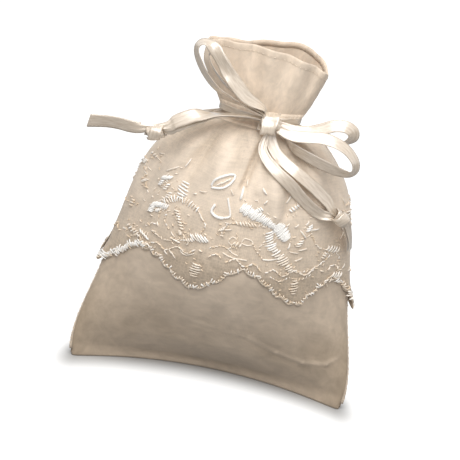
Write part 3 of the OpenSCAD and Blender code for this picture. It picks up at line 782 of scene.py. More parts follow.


# Embroidery on the lace
# Leaves, buds and stems in thick ivory silk thread, worked on the net by machine: each leaf a
# short ladder of satin stitches, each stem a row of small stitches or one couched cord.

# Leaves: middle across and up, length, width, turn, angle of the stitches, their gap and whiteness
LEAVES = [
    # Spray on the left: a bright bud with a column of beads, a hatched leaf, a white pair below it
    (-19.2, 56.8, 2.2, 2.0, 20, 60, 0.42, 1.0), (-20.3, 55.0, 2.0, 1.1, 65, 20, 0.7, 0.8),
    (-18.9, 54.6, 2.2, 1.2, 65, 20, 0.7, 0.7), (-18.0, 52.8, 2.0, 1.2, 70, 10, 0.7, 0.6),
    (-14.8, 55.2, 4.6, 3.0, 82, -10, 0.74, 0.9), (-20.4, 49.2, 2.6, 2.0, 20, 70, 0.45, 1.0),
    (-18.6, 49.6, 2.4, 1.9, 10, 80, 0.45, 0.9), (-21.6, 47.7, 2.2, 1.5, 75, 10, 0.45, 1.0),
    (-19.8, 48.0, 1.6, 1.2, 30, 80, 0.5, 0.6),
    # Ladder down from the bud's arc, and the hatched leaf at its foot
    (-14.9, 49.3, 2.0, 1.7, -62, 0, 0.85, 0.5), (-13.7, 47.1, 3.0, 1.6, -62, 4, 0.8, 0.4),
    (-13.4, 45.0, 1.2, 1.0, -70, 10, 0.7, 0.4), (-8.4, 45.2, 4.2, 2.8, 12, -42, 0.74, 0.6),
    (-10.8, 43.9, 1.8, 1.3, 20, -40, 0.7, 0.5), (-14.2, 42.6, 2.6, 1.0, -8, -10, 0.6, 0.4),
    # Far left: a double row that climbs from the edge
    (-26.2, 39.9, 2.2, 1.2, -30, 50, 0.7, 0.5), (-24.4, 39.6, 2.6, 1.6, -18, 55, 0.62, 0.5),
    (-22.2, 40.4, 2.6, 1.5, -20, -40, 0.62, 0.6), (-21.6, 38.2, 1.8, 1.2, 10, 60, 0.62, 0.4),
    (-24.8, 53.0, 1.8, 1.2, 50, 20, 0.6, 0.5), (-23.6, 59.8, 2.0, 0.9, -10, 60, 0.7, 0.5),
    (-25.8, 57.2, 1.6, 1.2, 60, 10, 0.6, 0.5),
    # White chain across the middle, its smooth leaf and the cream row under it
    (1.6, 54.8, 3.4, 3.4, -22, 56, 0.4, 1.1), (4.2, 54.0, 3.4, 3.6, -22, 58, 0.4, 1.1),
    (6.6, 53.0, 2.6, 2.6, -24, 60, 0.4, 1.1), (8.0, 52.2, 1.8, 1.9, -30, 50, 0.36, 1.1),
    (10.9, 50.6, 5.2, 3.4, -46, 44, 0.36, 1.2), (2.6, 51.4, 4.4, 1.5, 4, -48, 0.8, 0.4),
    (4.8, 55.6, 1.6, 1.2, 40, -40, 0.5, 0.9),
    # Column of short rungs below the smooth leaf
    (8.2, 49.3, 2.6, 2.6, -80, 30, 0.62, 0.9), (9.1, 46.9, 2.4, 2.7, -60, 28, 0.66, 0.8),
    (10.6, 45.1, 2.2, 2.4, -58, 32, 0.7, 0.6), (12.6, 43.2, 2.6, 2.8, -50, 28, 0.72, 0.4),
    (14.4, 41.3, 2.0, 1.8, -55, 30, 0.7, 0.4),
    # Border leaves, and the sprays on the right
    (-8.0, 36.6, 4.0, 3.0, 86, 2, 0.72, 0.35), (16.9, 36.0, 4.4, 2.0, -84, 12, 0.8, 0.3),
    (24.6, 45.6, 3.6, 1.8, -20, 60, 0.66, 0.6), (22.8, 44.2, 1.8, 1.3, 60, -20, 0.7, 0.4),
    (17.6, 51.8, 1.7, 1.5, 80, 30, 0.5, 0.8), (12.8, 56.6, 2.6, 1.1, 45, -40, 0.6, 0.8),
    (27.0, 38.4, 2.6, 1.8, -14, 70, 0.62, 0.5), (26.6, 54.0, 2.4, 1.4, 80, 10, 0.7, 0.5),
    (16.0, 47.8, 2.0, 1.6, 70, 10, 0.7, 0.6), (-3.6, 48.8, 1.6, 1.0, 30, 70, 0.7, 0.35),
    (0.8, 46.0, 2.4, 1.4, -8, 60, 0.74, 0.35), (-27.0, 46.0, 2.4, 1.2, 75, 20, 0.8, 0.3)
]
# Single long stitches: middle across and up, angle, length and thickness
STROKES = [
    (-18.4, 59.4, 42, 3.4, 0.45), (-15.3, 61.9, 68, 2.8, 0.55), (-21.8, 61.0, 20, 1.6, 0.4),
    (-22.4, 59.6, -20, 1.2, 0.4), (-24.2, 56.2, -15, 1.2, 0.4), (-0.5, 58.4, 85, 3.0, 0.85),
    (0.4, 61.0, 95, 1.6, 0.45), (5.2, 60.4, -52, 1.8, 0.6), (5.8, 57.8, 60, 1.4, 0.5),
    (-9.6, 56.8, 12, 1.7, 0.42), (-11.4, 55.6, 10, 0.9, 0.5), (-3.2, 58.4, -58, 1.6, 0.45),
    (11.0, 58.6, 74, 2.0, 0.5), (-8.7, 50.4, -48, 1.5, 0.48), (-7.5, 48.7, 85, 1.2, 0.48),
    (-19.3, 44.6, -62, 1.2, 0.42), (-20.1, 42.4, 15, 1.3, 0.42), (-15.0, 43.7, -38, 1.7, 0.42),
    (-0.2, 51.2, -42, 1.3, 0.42), (-2.6, 50.8, 0, 1.0, 0.42), (-2.0, 49.2, 12, 2.0, 0.45),
    (-3.2, 47.4, 0, 0.9, 0.42), (16.8, 53.0, 60, 1.3, 0.6), (19.0, 51.4, 6, 2.0, 0.55),
    (14.3, 52.2, 40, 1.2, 0.5), (16.4, 50.0, -50, 2.8, 0.55), (13.4, 47.0, 78, 1.6, 0.6),
    (17.0, 46.2, 14, 2.2, 0.45), (14.9, 45.4, -10, 2.4, 0.42), (16.4, 43.6, 24, 2.0, 0.42),
    (-16.0, 38.6, -46, 1.4, 0.5), (-14.8, 39.2, -44, 1.6, 0.46), (-14.0, 38.6, -50, 2.0, 0.4),
    (26.2, 48.8, 75, 1.8, 0.45), (28.0, 50.8, 80, 1.6, 0.42), (24.8, 57.6, -60, 1.8, 0.45),
    (-12.0, 40.8, 10, 1.0, 0.42), (-11.0, 42.8, 60, 1.2, 0.4), (20.4, 41.0, 36, 1.4, 0.45),
    (-6.4, 60.0, 50, 1.6, 0.5), (-5.5, 60.7, 50, 1.8, 0.5), (-4.7, 61.4, 50, 1.4, 0.5)
]
# Couched cords: thickness, then the points each runs through, across and up
CORDS = [
    (0.95, [(-6.3, 54.8), (-6.8, 53.2), (-6.4, 52.3), (-5.0, 51.7), (-3.6, 51.9)]),
    (0.7, [(-3.6, 51.9), (-2.3, 52.5), (-2.6, 54.0), (-3.2, 55.4), (-3.9, 57.0)]),
    (0.8, [
        (-7.9, 59.0), (-7.2, 60.8), (-5.4, 62.4), (-3.6, 62.6), (-4.0, 60.8), (-5.6, 59.2), (-7.9, 58.6)
    ]),
    (0.42, [(-12.6, 40.6), (-11.6, 39.8), (-10.4, 40.0), (-8.9, 41.0)]),
    (0.4, [(-1.4, 46.4), (-0.6, 47.6), (0.4, 47.2), (0.3, 46.2), (-0.5, 45.6), (-1.4, 46.3)]),
    (0.4, [(1.8, 46.6), (2.4, 47.8), (4.0, 47.6), (4.6, 46.8), (3.4, 46.2), (1.8, 46.5)]),
    (0.55, [(7.6, 43.2), (9.4, 43.2), (11.2, 43.8), (12.6, 45.0)]),
    (0.42, [(-2.2, 43.2), (-0.6, 42.6), (0.8, 42.4), (2.4, 42.4), (4.0, 42.4)]),
    (0.42, [(-1.2, 44.6), (0.2, 43.6), (1.6, 43.2)]),
    (0.6, [(22.2, 54.2), (24.6, 52.4), (26.4, 50.0)])
]
# Stems in small single stitches, across and up
VINES = [
    [(-10.4, 52.5), (-8.7, 50.4), (-7.5, 48.7), (-8.4, 46.6)],
    [(-18.3, 51.0), (-17.6, 48.6), (-17.8, 46.4), (-16.0, 44.4)],
    [(-20.1, 42.3), (-17.0, 41.6), (-14.2, 42.6), (-11.0, 43.8)],
    [(-19.4, 44.5), (-21.0, 44.0), (-22.6, 42.4)],
    [(-5.4, 43.6), (-3.0, 44.8), (-1.0, 44.6), (0.8, 46.0)],
    [(4.6, 46.8), (6.0, 45.0), (7.6, 43.2)],
    [(-0.2, 51.2), (-2.2, 50.6), (-3.4, 48.6), (-2.6, 46.8)],
    [(14.4, 41.3), (17.0, 40.2), (20.4, 41.0), (23.0, 42.8), (25.0, 45.0)],
    [(17.6, 51.8), (19.0, 49.0), (21.0, 46.5), (24.0, 45.6)],
    [(12.8, 56.6), (14.6, 58.0), (15.4, 60.0)],
    [(-25.8, 57.2), (-25.0, 55.0), (-24.8, 53.0), (-23.0, 50.4)],
    [(22.2, 54.2), (21.0, 57.0), (19.0, 59.5)],
    [(24.6, 45.6), (26.6, 43.2), (27.0, 40.4), (27.4, 38.4)],
    [(10.6, 38.6), (13.0, 37.6), (15.0, 38.6), (18.0, 38.2), (20.2, 39.4)]
]
# Single small stitches round each leaf
PICOTS = 7
# Arc of the large bud, worked in a close fringe
BUD_ARC = [(-18.6, 51.0), (-16.6, 52.4), (-14.2, 53.0), (-12.0, 52.7), (-10.0, 52.0)]


def between(before, here, there, after, f):
    """A smooth step of share f from here to there, led by the stops before and after."""
    return 0.5 * (
        2 * here + (there - before) * f
        + (2 * before - 5 * here + 4 * there - after) * f**2
        + (3 * here - before - 3 * there + after) * f**3
    )


def smooth_line(stops, steps):
    """A smooth line through stops, across and up."""
    spots = [Vector(stop) for stop in stops[:1] + stops + stops[-1:]]
    line = []
    for i in range(len(stops) - 1):
        line += [between(*spots[i:i + 4], k / steps) for k in range(steps)]
    return line + [spots[-1]]


def embroider(side):
    """All the leaves, stems, cords and single stitches of one lace."""
    book = ([], [], [])
    dice = random.Random(21)
    for x, z, length, width, turn, angle, gap, bleach_and_shine in LEAVES:
        way = Vector((math.cos(math.radians(turn)), math.sin(math.radians(turn))))
        count = max(3, round(length / gap))
        for i in range(count):
            f = (i + 0.5) / count
            long = width * math.sin(math.pi * (0.14 + 0.72 * f)) ** 0.8 * (0.85 + 0.3 * dice.random())
            spot = Vector((x, z)) + way * length * (f - 0.5)
            lean = math.radians(angle) + 0.25 * (dice.random() - 0.5)
            shade = bleach_and_shine + 0.3 * (dice.random() - 0.5)
            sew_bar(book, side, spot, lean, long, 0.4 + 0.14 * dice.random(), 0.38, shade)
        for i in range(PICOTS):
            away = Vector((dice.gauss(0, 0.5), dice.gauss(0, 0.5))) * length
            lean = math.radians(angle) + dice.gauss(0, 0.6)
            stitch = 0.4 + 0.6 * dice.random()
            thick = 0.24 + 0.12 * dice.random()
            sew_bar(book, side, Vector((x, z)) + away, lean, stitch, thick, 0.2, 0.4 * bleach_and_shine)
    for stops in VINES:
        for spot, turn in spaced(smooth_line(stops, 6), 0.85):
            lean = turn + dice.gauss(0, 0.5)
            stitch = 0.5 + 0.5 * dice.random()
            sew_bar(book, side, spot, lean, stitch, 0.26 + 0.12 * dice.random(), 0.2, 0.7 * dice.random())
    for x, z, angle, length, thick in STROKES:
        sew_bar(book, side, Vector((x, z)), math.radians(angle), length, 0.8 * thick, thick * 0.6, thick)
    for thick, stops in CORDS:
        path = [on_lace(side, p.x, p.y, thick / 4) for p in smooth_line(stops, 6)]
        lay_thread(book, path, 0.8 * thick, Vector((0, side, 0)), thick)
    for spot, turn in spaced(smooth_line(BUD_ARC, 6), 0.7):
        long = 1.2 + 0.9 * dice.random()
        lean = turn + math.pi / 2 + 0.4 * (dice.random() - 0.5)
        sew_bar(book, side, spot, lean, long, 0.38, 0.35, 0.4 + 0.5 * dice.random())
    return book


for side, name in SIDES:
    leaves = thread_piece(name + "_embroidery", embroider(side))
    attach(leaves, "pouch")


# Header hems
# The raw upper edge of each cloth is turned over once and sewn down, so that a narrow doubled
# band runs round the mouth with a row of small bright stitches along its lower edge.

HEM_STEPS = 110
HEM_STITCHES = 34
# Where the rim lies along the cloth's own length
RIM_LAY = 101
# The hem's section, as distance off the cloth's inner face and height from the rim
HEM_SECTION = [
    (0.56, -1.9), (0.64, -1.7), (0.68, -1.1), (0.68, -0.3),
    (0.6, 0.06), (0.46, 0.12), (0.3, 0.0), (0.26, -1.5)
]


def hem_place(side):
    """Where each point of one turned hem lies."""
    def place(row, column):
        t = -side * (1.96 * column / HEM_STEPS - 0.98)
        off, drop = HEM_SECTION[row]
        z = mouth_z(side, t) + drop
        puff = 0.03 * math.sin(1.9 * column) if row in (1, 2) else 0
        point = on_cloth(side, t, z, off + puff + crumple(side, t, z))
        return point, (HALF_CLOTH * t, RIM_LAY + drop), 1.0
    return place


hems = {}
for side, name in SIDES:
    rows = len(HEM_SECTION) - 1
    hem = sew_sheet(name + "_hem_band", rows, HEM_STEPS, hem_place(side), organza, thick=0.1)
    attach(hem, "pouch")
    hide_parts(name + "_hem")
    book = ([], [], [])
    for i in range(HEM_STITCHES):
        t = -0.95 + 1.9 * i / (HEM_STITCHES - 1)
        path = []
        for step, high in ((-0.011, 0.6), (-0.006, 0.7), (0.006, 0.7), (0.011, 0.6)):
            z = mouth_z(side, t + step) - 1.5
            path.append(on_cloth(side, t + step, z, high + crumple(side, t + step, z)))
        lay_thread(book, path, thick=0.16, lift=Vector((0, side, 0)))
    row = thread_piece(name + "_hem_stitches", book)
    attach(row, "pouch")
    hems[side] = [hem, row]


# Casing
# A narrow band of the same cloth sewn round the neck as a tunnel for the ribbons. Drawn tight,
# it stands in small upright pleats.

CASING_LOW = 74.25
CASING_HIGH = 3.6
CASING_ROWS = 10
CASING_STEPS = 220


def casing_place(side):
    """Where each point of one half of the casing lies."""
    def place(row, column):
        t = -side * (1.96 * column / CASING_STEPS - 0.98)
        f = row / CASING_ROWS
        z = CASING_LOW + CASING_HIGH * f
        puff = math.sin(math.pi * f) ** 0.5
        pleat = 0.1 * math.cos(60 * t + 3 * math.sin(7 * t)) * puff
        snug = 1 - ease(0.8, 0.98, abs(t))
        point = on_cloth(side, t, z, 0.5 + 0.3 * puff + (0.4 * puff + pleat) * snug)
        return point, (HALF_CLOTH * t, CLOTH_RUN * z), 0.95
    return place


for side, name in SIDES:
    place = casing_place(side)
    casing = sew_sheet(name + "_casing_band", CASING_ROWS, CASING_STEPS, place, organza, thick=0.14)
    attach(casing, "pouch")
    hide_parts(name + "_casing")
    trim = hems[side] + [casing]
    if side == FRONT:
        trim += seams["left"] + [bottom_ridge]
    else:
        trim += seams["right"]


# Drawstring ribbons in the casing
# Two lengths of narrow ivory satin ribbon, each run right round the neck inside the casing from
# its own side seam. Both its ends come out there and lead over the front to the bow.

RIBBON_WIDTH = 3.2
FLOAT_PITCH = 0.2
RIB_PITCH = 0.34


def satin_finish():
    """Satin ribbon: fine lengthwise floats with a soft shine, and a firm woven edge."""
    finish = bpy.data.materials.new("ivory_satin")
    finish.use_nodes = True
    tree = finish.node_tree
    lay = add_node(tree, "UVMap", uv_map="cloth").outputs[0]
    grain = add_node(tree, "Tangent", direction_type="UV_MAP", uv_map="cloth")
    floats = add_node(
        tree, "TexWave", {"Scale": WAVE_SCALE / FLOAT_PITCH, "Distortion": 1.2, "Vector": lay},
        bands_direction="X"
    )
    ribs = add_node(tree, "TexWave", {"Scale": WAVE_SCALE / RIB_PITCH, "Vector": lay}, bands_direction="Y")
    split = add_node(tree, "SeparateXYZ", {0: lay})
    border = range_of(tree, math_of(tree, "ABSOLUTE", split.outputs["X"]), 1.22, 1.4)
    height = add_node(tree, "Mix", {"Factor": border, "A": floats.outputs["Fac"], "B": ribs.outputs["Fac"]})
    relief = add_node(
        tree, "Bump", {"Strength": 0.025, "Distance": 0.00015, "Height": height.outputs["Result"]}
    )
    streak_lay = add_node(tree, "Mapping", {"Scale": (2.2, 0.3, 1.0), "Vector": lay})
    streaks = add_node(tree, "TexNoise", {"Scale": 1.0, "Detail": 2.0, "Vector": streak_lay.outputs[0]})
    streak = streaks.outputs["Fac"]
    wrinkle = add_node(
        tree, "Bump", {"Strength": 0.06, "Distance": 0.0004, "Height": streak, "Normal": relief.outputs[0]}
    )
    # The dye is lighter on the crests and darker in the troughs of the fine lengthwise creases that the
    # wrinkle bump makes: a painted sheen and shade
    dye_and_shading = ramp_of(tree, streak, (0.3, paint(198, 180, 158)), (0.72, paint(231, 217, 200)))
    edge_share = math_of(tree, "MULTIPLY", border, 0.2)
    edge_tone = add_node(
        tree, "Mix", {"Factor": edge_share, "A": dye_and_shading, "B": paint(212, 196, 178)}, data_type="RGBA"
    )
    wire(tree, tree.nodes["Principled BSDF"], {
        "Specular IOR Level": 1.0, "Sheen Weight": 0.15, "Sheen Roughness": 0.35, "Anisotropic": 0.4,
        "Anisotropic Rotation": 0.25, "Coat Weight": 1.0, "Coat Roughness": 0.3, "Coat IOR": 2.0,
        "Roughness": range_of(tree, streak, 0.0, 1.0, 0.2, 0.28), "Tangent": grain.outputs[0],
        "Normal": wrinkle.outputs[0], "Base Color": edge_tone.outputs["Result"]
    })
    return finish


satin = satin_finish()


def ribbon_way(stops, steps):
    """A smooth way through stops of place and width direction."""
    ends = [tuple(2 * a - b for a, b in zip(stops[0], stops[1]))]
    ends += list(stops)
    ends += [tuple(2 * a - b for a, b in zip(stops[-1], stops[-2]))]
    way = []
    for i in range(len(stops) - 1):
        last = 1 if i == len(stops) - 2 else 0
        for k in range(steps + last):
            way.append([between(*guides, k / steps) for guides in zip(*ends[i:i + 4])])
    return way


def satin_ribbon(name, stops, pinches=(), cup=0.08, steps=9, width=RIBBON_WIDTH, slant=0.0, crush=0.0):
    """A flat ribbon along stops; it draws together near each pinch (place, reach, share).

    Gives the piece, the places along its middle and its length in mm.
    """
    way = ribbon_way([(Vector(p), Vector(w)) for p, w in stops], steps)
    places = [spot[0] for spot in way]
    points = []
    lays = []
    length = 0.0
    lanes = 9
    for i, (place, wide) in enumerate(way):
        if i:
            length += (place - places[i - 1]).length
        run = (places[min(i + 1, len(way) - 1)] - places[max(i - 1, 0)]).normalized()
        wide = (wide - run * wide.dot(run)).normalized()
        face = run.cross(wide)
        drawn = 0.0
        for centre, reach, share in pinches:
            drawn = max(drawn, share * math.exp(-(((place - Vector(centre)).length / reach) ** 2)))
        half = width / 2 * (1 - drawn)
        bend = cup + 0.55 * drawn
        tail = slant if i == len(way) - 1 else 0.0
        for face_side in (1, -1):
            for k in range(lanes):
                s = (2 * k / (lanes - 1) - 1) * face_side
                ripple = drawn * 0.5 * math.cos(7.5 * s)
                hollow = bend * (s * s - 0.4) + ripple
                hollow += crush * math.sin(1.9 * length + 2.6 * s) * math.cos(3.4 * s - 0.7 * length)
                firm = 0.09 if abs(s) > 0.9 else 0.07
                out = hollow + firm * face_side
                points.append(place + wide * half * s + face * out + run * tail * s)
                lays.append((width / 2 * s, length))
    piece = new_piece(name, points, tube_faces(0, len(way), 2 * lanes, turned=True), satin)
    map_cloth(piece, lays)
    return piece, places, length


RUN_Z = 76.05
RUN_STEPS = 28
LEAD_STEPS = 15
UPRIGHT = (0, 0, 1)
for hand, low, name in ((-1, 0.72, "left"), (1, 0.93, "right")):
    stops = []
    for side, start in ((FRONT, 0.95), (BACK, -0.98)):
        for i in range(RUN_STEPS + 1):
            t = hand * (start + side * 1.93 * i / RUN_STEPS)
            stops.append((on_cloth(side, t, RUN_Z, low), UPRIGHT))
    run = satin_ribbon(name + "_run", stops, cup=0.0, steps=2, width=2.2)[0]
    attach(run, "pouch")
    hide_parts(name + "_drawstring")

BOW = Vector((3.3, -10.533, RUN_Z))
BOW_PINCH = (BOW, 4.0, 0.45)
BOW_T = seam_place(BOW.x, RUN_Z)
for hand, name in ((-1, "left"), (1, "right")):
    stops = []
    for i in range(LEAD_STEPS + 1):
        t = hand * 0.99 + (BOW_T - hand * 0.99) * i / LEAD_STEPS
        off = 0.9 + 0.5 * ease(0, 0.2, abs(hand - t))
        stops.append((on_cloth(FRONT, t, RUN_Z, off), UPRIGHT))
    lead = satin_ribbon(name + "_lead_ribbon", stops, pinches=[BOW_PINCH], cup=0.05, steps=4, width=1.6)[0]
    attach(lead, "pouch")
    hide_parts(name + "_lead")


# Bow knot
# The crossing of the two ribbons at the front of the neck, pulled tight: one ribbon wraps once
# round the gathered strands, which fill it as a core, and holds the loops.

WRAP_STEPS = 14
wrap = []
for k in range(WRAP_STEPS + 1):
    turn = math.radians(-110 + 360 * k / WRAP_STEPS)
    lean = 0.2 * math.sin(turn)
    rise = 2.5 * math.copysign(abs(math.sin(turn)) ** 0.75, math.sin(turn))
    front = 2.0 * math.copysign(abs(math.cos(turn)) ** 0.8, math.cos(turn))
    place = BOW + Vector((-0.3 - 0.05 * k + lean, 0.42 * rise - front, rise))
    wrap.append((place, (1, 0.1, 0.3 * math.cos(turn))))
wrap_pinch = (BOW + Vector((-0.8, -2.4, -1.6)), 2.2, 0.25)
knot_wrap = satin_ribbon(
    "bow_knot_wrap", wrap, pinches=[wrap_pinch], cup=-0.45, steps=6, width=4.6, crush=0.14
)[0]
core_points = []
core_lays = []
CORE_RINGS = 14
CORE_SIDES = 28
for i in range(CORE_RINGS + 1):
    f = i / CORE_RINGS
    round_off = math.sin(math.pi * (0.12 + 0.76 * f)) ** 0.5
    for k in range(CORE_SIDES):
        turn = 2 * math.pi * k / CORE_SIDES
        size = round_off * (1 + 0.1 * math.cos(5 * turn + 2 * f) + 0.05 * math.cos(9 * turn))
        core_points.append(BOW + Vector((
            -2.4 + 4.8 * f, -1.5 * size * math.cos(turn), 2.0 * size * math.sin(turn)
        )))
        core_lays.append((1.2 * math.sin(5 * turn), 6 * f))
core_faces = tube_faces(0, CORE_RINGS + 1, CORE_SIDES)
knot_core = new_piece("bow_knot_core", core_points, core_faces, satin)
map_cloth(knot_core, core_lays)
for piece in (knot_wrap, knot_core):
    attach(piece, "pouch")
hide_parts("bow_knot")


# Pulls
# The free ends of the ribbons, doubled. They leave the bow to the left and down over the right
# front, each pair tied together in an overhand knot with two short cut tails beyond it.

def from_bow(route, shift=(0, 0, 0)):
    """A route's stops in the shared frame, moved by shift."""
    return [(BOW + Vector(p) + Vector(shift), w) for p, w in route]


def into_bow(stops, share):
    """The same stops with a start inside the knot, at a share of the way out."""
    first = stops[0]
    return [(BOW + (first[0] - BOW) * share, first[1])] + stops


# Routes from the bow's middle, in mm: each stop has its place and the direction of the width
LEFT_PULL_FRONT = [
    ((-3.4, 0, 1), (0, 0.97, -0.12)), ((-6.7, -0.1, 0.9), (0, 0.97, -0.12)),
    ((-11.2, -0.2, 0.3), (0, 0.97, -0.1)), ((-14.4, -0.3, -0.5), (0, 0.98, 0)),
    ((-17.1, -0.5, -1.1), (-0.1, 0.85, 0.4)), ((-19.6, -0.7, -1.7), (-0.2, 0.6, 0.75)),
    ((-21.8, -0.8, -2.9), (-0.33, 0.5, 0.8)), ((-23.9, -0.7, -4.3), (-0.33, 0.45, 0.82)),
    ((-25.5, -0.4, -6), (-0.3, 0.3, 0.9))
]
LEFT_PULL_BACK = [
    ((-3.4, 0.5, 0.7), (0, 0.97, -0.12)), ((-6.7, 0.45, 0.6), (0, 0.97, -0.12)),
    ((-11.2, 0.4, -0.1), (0, 0.97, -0.1)), ((-14.4, 0.3, -1), (0, 0.98, 0)),
    ((-17, 0.2, -1.9), (-0.1, 0.85, 0.4)), ((-19.4, 0.1, -2.8), (-0.2, 0.6, 0.75)),
    ((-21.6, 0, -4.1), (-0.33, 0.5, 0.8)), ((-23.8, 0, -5.7), (-0.33, 0.45, 0.82)),
    ((-25.4, 0, -6.9), (-0.3, 0.3, 0.9))
]
LEFT_TAIL = [
    ((-31.2, -0.2, -7.6), (0, 0.1, 1)), ((-32.9, -0.2, -7.9), (0, -0.1, 1)),
    ((-35, -0.2, -8), (0, -0.3, 1)), ((-37.8, -0.3, -7.8), (0, -0.4, 1)),
    ((-41.1, -0.4, -7.9), (0, -0.4, 1)), ((-45.5, -0.8, -8.5), (0, -0.3, 1))
]
LEFT_KNOT = ((-26.3, 0, -7.6), (-30.5, 0, -8.8))
RIGHT_PULL_UPPER = [
    ((0.9, -0.8, -4.2), (0.75, 0.4, 0.5)), ((2.6, -1.8, -6.6), (0.6, 0.5, 0.6)),
    ((5.5, -2.6, -8.6), (0.5, 0.55, 0.65)), ((9, -3.4, -10.4), (0.46, 0.57, 0.68)),
    ((12.6, -2.8, -12.6), (0.45, 0.57, 0.68)), ((15.9, -1.4, -15.2), (0.45, 0.57, 0.68)),
    ((18.1, -0.6, -17.1), (0.45, 0.57, 0.68)), ((20, -0.2, -19.3), (0.4, 0.5, 0.7))
]
RIGHT_PULL_LOWER = [
    ((-0.9, -1.4, -4), (0.8, 0.35, 0.4)), ((-0.9, -2.8, -6.3), (0.75, 0.4, 0.5)),
    ((0.9, -4.4, -8.4), (0.65, 0.45, 0.6)), ((4.3, -5.6, -10.8), (0.6, 0.4, 0.65)),
    ((7.8, -5.2, -13.2), (0.65, 0.1, 0.7)), ((11.1, -4, -16.2), (0.7, -0.15, 0.7)),
    ((14.4, -2.8, -18.9), (0.7, -0.1, 0.7)), ((17.1, -1.5, -20.5), (0.5, 0.1, 0.8)),
    ((19.9, -0.8, -20.8), (0.3, 0.4, 0.8))
]
RIGHT_TAIL = [
    ((24, 1.4, -22.6), (0.4, 0.5, 0.6)), ((25.2, 2.8, -24.8), (0.3, 0.8, 0.2)),
    ((26.2, 4, -27.6), (0.2, 0.9, 0)), ((26.8, 5.4, -31), (0.2, 0.9, 0))
]
RIGHT_KNOT = ((20.4, -0.4, -19.8), (23.8, 1.2, -22.2))
TURN_STEPS = 25


def overhand_knot(name, ends):
    """Two turns of ribbon round the doubled strands, one leaning over the other."""
    start = BOW + Vector(ends[0])
    end = BOW + Vector(ends[1])
    axis = (end - start).normalized()
    middle = (start + end) / 2
    side_way = axis.cross(Vector((0, -1, 0))).normalized()
    out_way = side_way.cross(axis)
    pieces = []
    for part, turns, radius, lean, from_turn, wide in (
        ("under", 1.25, 1.5, 0.2, 60, 4.0), ("over", 0.66, 1.9, -0.5, 140, 3.0)
    ):
        stops = []
        for k in range(TURN_STEPS + 1):
            f = k / TURN_STEPS
            turn = math.radians(from_turn + 360 * turns * f)
            swell = radius * (0.82 + 0.18 * math.sin(math.pi * f))
            flat = turn + math.radians(22)
            swell /= (abs(math.cos(flat)) ** 3 + abs(math.sin(flat)) ** 3) ** (1 / 3)
            spot = middle + axis * (2.2 * (f - 0.5) * (-1 if lean < 0 else 1))
            spot += (side_way * math.cos(turn) - out_way * math.sin(turn)) * swell
            across_way = axis + (out_way * math.cos(turn) + side_way * math.sin(turn)) * lean
            stops.append((spot, across_way))
        pieces.append(satin_ribbon(name + "_" + part, stops, cup=-0.2, steps=3, width=wide)[0])
    return pieces


KNOTS = {"left_pull": LEFT_KNOT, "right_pull": RIGHT_KNOT}
PULL_WIDTHS = {"left_pull": 3.7, "right_pull": RIBBON_WIDTH}
# Where a strand is drawn together, at its knot and at its root in the bow: reach and share
KNOT_PINCH = (4.2, 0.58)
ROOT_PINCHES = {
    "left_pull_front": (9.0, 0.5), "left_pull_back": (9.0, 0.5),
    "right_pull_upper": (3.5, 0.45), "right_pull_lower": (8.0, 0.6)
}
# Each strand: its name and body, its route, its tail with the tail's shift and node, its end's slant
pulls = [
    ("left_pull_front", "left_pull", LEFT_PULL_FRONT, LEFT_TAIL, (0, 0, 0), "left_tail_front", -0.5),
    ("left_pull_back", "left_pull", LEFT_PULL_BACK, LEFT_TAIL, (0.1, 0.35, -0.2), "left_tail_back", -0.5),
    ("right_pull_upper", "right_pull", RIGHT_PULL_UPPER, RIGHT_TAIL, (0, 0, 0), "right_tail_front", 0.5),
    ("right_pull_lower", "right_pull", RIGHT_PULL_LOWER, RIGHT_TAIL, (-0.5, 0.3, 0), "right_tail_back", 0.3),
]
knot_pieces = {
    "left_pull": overhand_knot("left_knot", LEFT_KNOT),
    "right_pull": overhand_knot("right_knot", RIGHT_KNOT),
}
for body, pieces in knot_pieces.items():
    for piece in pieces:
        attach(piece, body)
    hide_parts(body + "_knot")
for name, body, pull, tail, tail_shift, tail_node, slant in pulls:
    knot = KNOTS[body]
    middle = BOW + (Vector(knot[0]) + Vector(knot[1])) / 2
    stops = into_bow(from_bow(pull) + from_bow(tail, tail_shift), share=0.35)
    pinches = [(BOW, *ROOT_PINCHES[name]), (middle, *KNOT_PINCH)]
    wide = PULL_WIDTHS[body]
    strand, places, length = satin_ribbon(
        name + "_strand", stops, pinches=pinches, width=wide, slant=slant
    )
    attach(strand, body)
    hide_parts(name, tail_node)


# Bow loops
# Four loops of the same ribbon held by the bow's knot: two up to the left, one inside the other,
# and two to the right, one above the other. Each goes out from the knot and comes back to it.

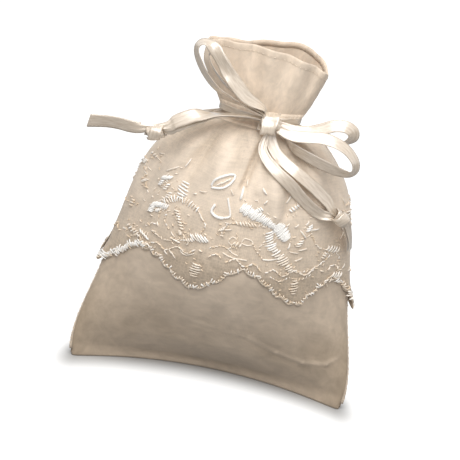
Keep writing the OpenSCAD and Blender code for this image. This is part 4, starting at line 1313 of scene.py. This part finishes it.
LOOPS = {
    "left_loop_outer": [
        ((-2.9, -0.4, 2.3), (0, 1, 0.1)), ((-6.5, -1, 3.3), (-0.1, 1, 0)),
        ((-11, -1.2, 4.9), (-0.3, 0.9, -0.3)), ((-15, -1.2, 6.4), (-0.4, 0.8, -0.4)),
        ((-18.4, -1.2, 9.3), (-0.5, 0.8, -0.3)), ((-21, -1.2, 12.9), (-0.5, 0.8, -0.2)),
        ((-22, -1.2, 15.4), (-0.4, 0.9, 0)), ((-21.4, -1.3, 17.1), (-0.2, 0.9, 0.2)),
        ((-19.7, -1.6, 17.7), (0.1, 0.9, 0.3)), ((-17.4, -2.2, 16.4), (0.6, 0.1, 0.5)),
        ((-15, -2.8, 13.6), (0.67, -0.35, 0.62)), ((-11.5, -3.2, 9.7), (0.66, 0.44, 0.6)),
        ((-7.6, -2.8, 6.3), (0.6, 0.5, 0.55)), ((-3, -1.2, 4.1), (0, 1, 0.3))
    ],
    "left_loop_inner": [
        ((-2.9, -0.6, 2.9), (0, 1, 0.1)), ((-6.5, -1, 4.2), (-0.1, 1, 0)),
        ((-11, -1, 6.5), (-0.3, 0.9, -0.2)), ((-14.6, -0.8, 9), (-0.3, 0.9, -0.2)),
        ((-17.4, -0.6, 12), (-0.2, 1, -0.1)), ((-18.6, -0.5, 14.3), (-0.1, 1, 0)),
        ((-17.6, -0.4, 15.3), (0.2, 0.9, 0.2)), ((-15.8, -0.2, 14), (0.6, 0.5, 0.6)),
        ((-13.2, 0, 11), (0.7, 0.3, 0.6)), ((-10, 0.2, 8), (0.6, 0.5, 0.5)),
        ((-6.5, 0.3, 5.5), (0.2, 0.9, 0.3)), ((-3, -0.2, 3.7), (0, 1, 0.2))
    ],
    "right_loop_upper": [
        ((3, 0.2, -0.2), (0, 0.6, 0.8)), ((6, 0, -0.6), (0, 0.6, 0.8)), ((9.4, -0.2, -0.1), (0, 0.6, 0.8)),
        ((12.4, -0.4, 1.2), (-0.2, 0.5, 0.8)), ((15.6, -0.6, 2.9), (0, 0.5, 0.8)),
        ((18.4, -0.5, 3.2), (0.4, 0.5, 0.7)), ((20.4, -0.2, 2.2), (0.8, 0.5, 0.3)),
        ((20.8, 0.4, 0.4), (0.8, 0.6, -0.2)), ((19.4, 1.2, -1.2), (0.4, 0.8, -0.4)),
        ((15.8, 1.6, -2.3), (0, 0.9, -0.3)), ((11.6, 1.8, -2.8), (0, 1, -0.2)),
        ((6.5, 1.6, -2.6), (0, 1, 0)), ((3.1, 1.2, -1.4), (0, 1, 0.3))
    ],
    "right_loop_lower": [
        ((2.9, -1, -1), (0, 0.6, 0.8)), ((6, -1.8, -1.4), (0, 0.6, 0.8)),
        ((9.6, -2.4, -0.9), (0, 0.6, 0.8)), ((13, -2.8, -0.3), (0, 0.6, 0.8)),
        ((16.4, -2.9, -0.6), (0, 0.7, 0.7)), ((19.8, -2.7, -2), (0.3, 0.8, 0.5)),
        ((22.4, -2.2, -4.6), (0.5, 0.8, 0.1)), ((23, -1.7, -7.1), (0.5, 0.8, -0.3)),
        ((21.6, -1.4, -8.5), (0.1, 0.7, -0.7)), ((18.2, -1.5, -8.2), (-0.2, 0.45, -0.85)),
        ((12.7, -1.7, -6.8), (-0.3, 0.3, -0.9)), ((7.2, -1.2, -4.9), (-0.2, 0.5, -0.8)),
        ((3.2, 0.2, -2.4), (0, 1, 0.1))
    ],
}
# How far out, as a share of the first and last stops, each loop's ends lie inside the knot
LOOP_ROOT = 0.7
for name, route in LOOPS.items():
    body = "left_loop" if name.startswith("left") else "right_loops"
    stops = into_bow(from_bow(route), LOOP_ROOT)
    stops.append((BOW + (stops[-1][0] - BOW) * LOOP_ROOT, stops[-1][1]))
    loop, places, length = satin_ribbon(name + "_ribbon", stops, pinches=[BOW_PINCH])
    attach(loop, body)
    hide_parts(name)
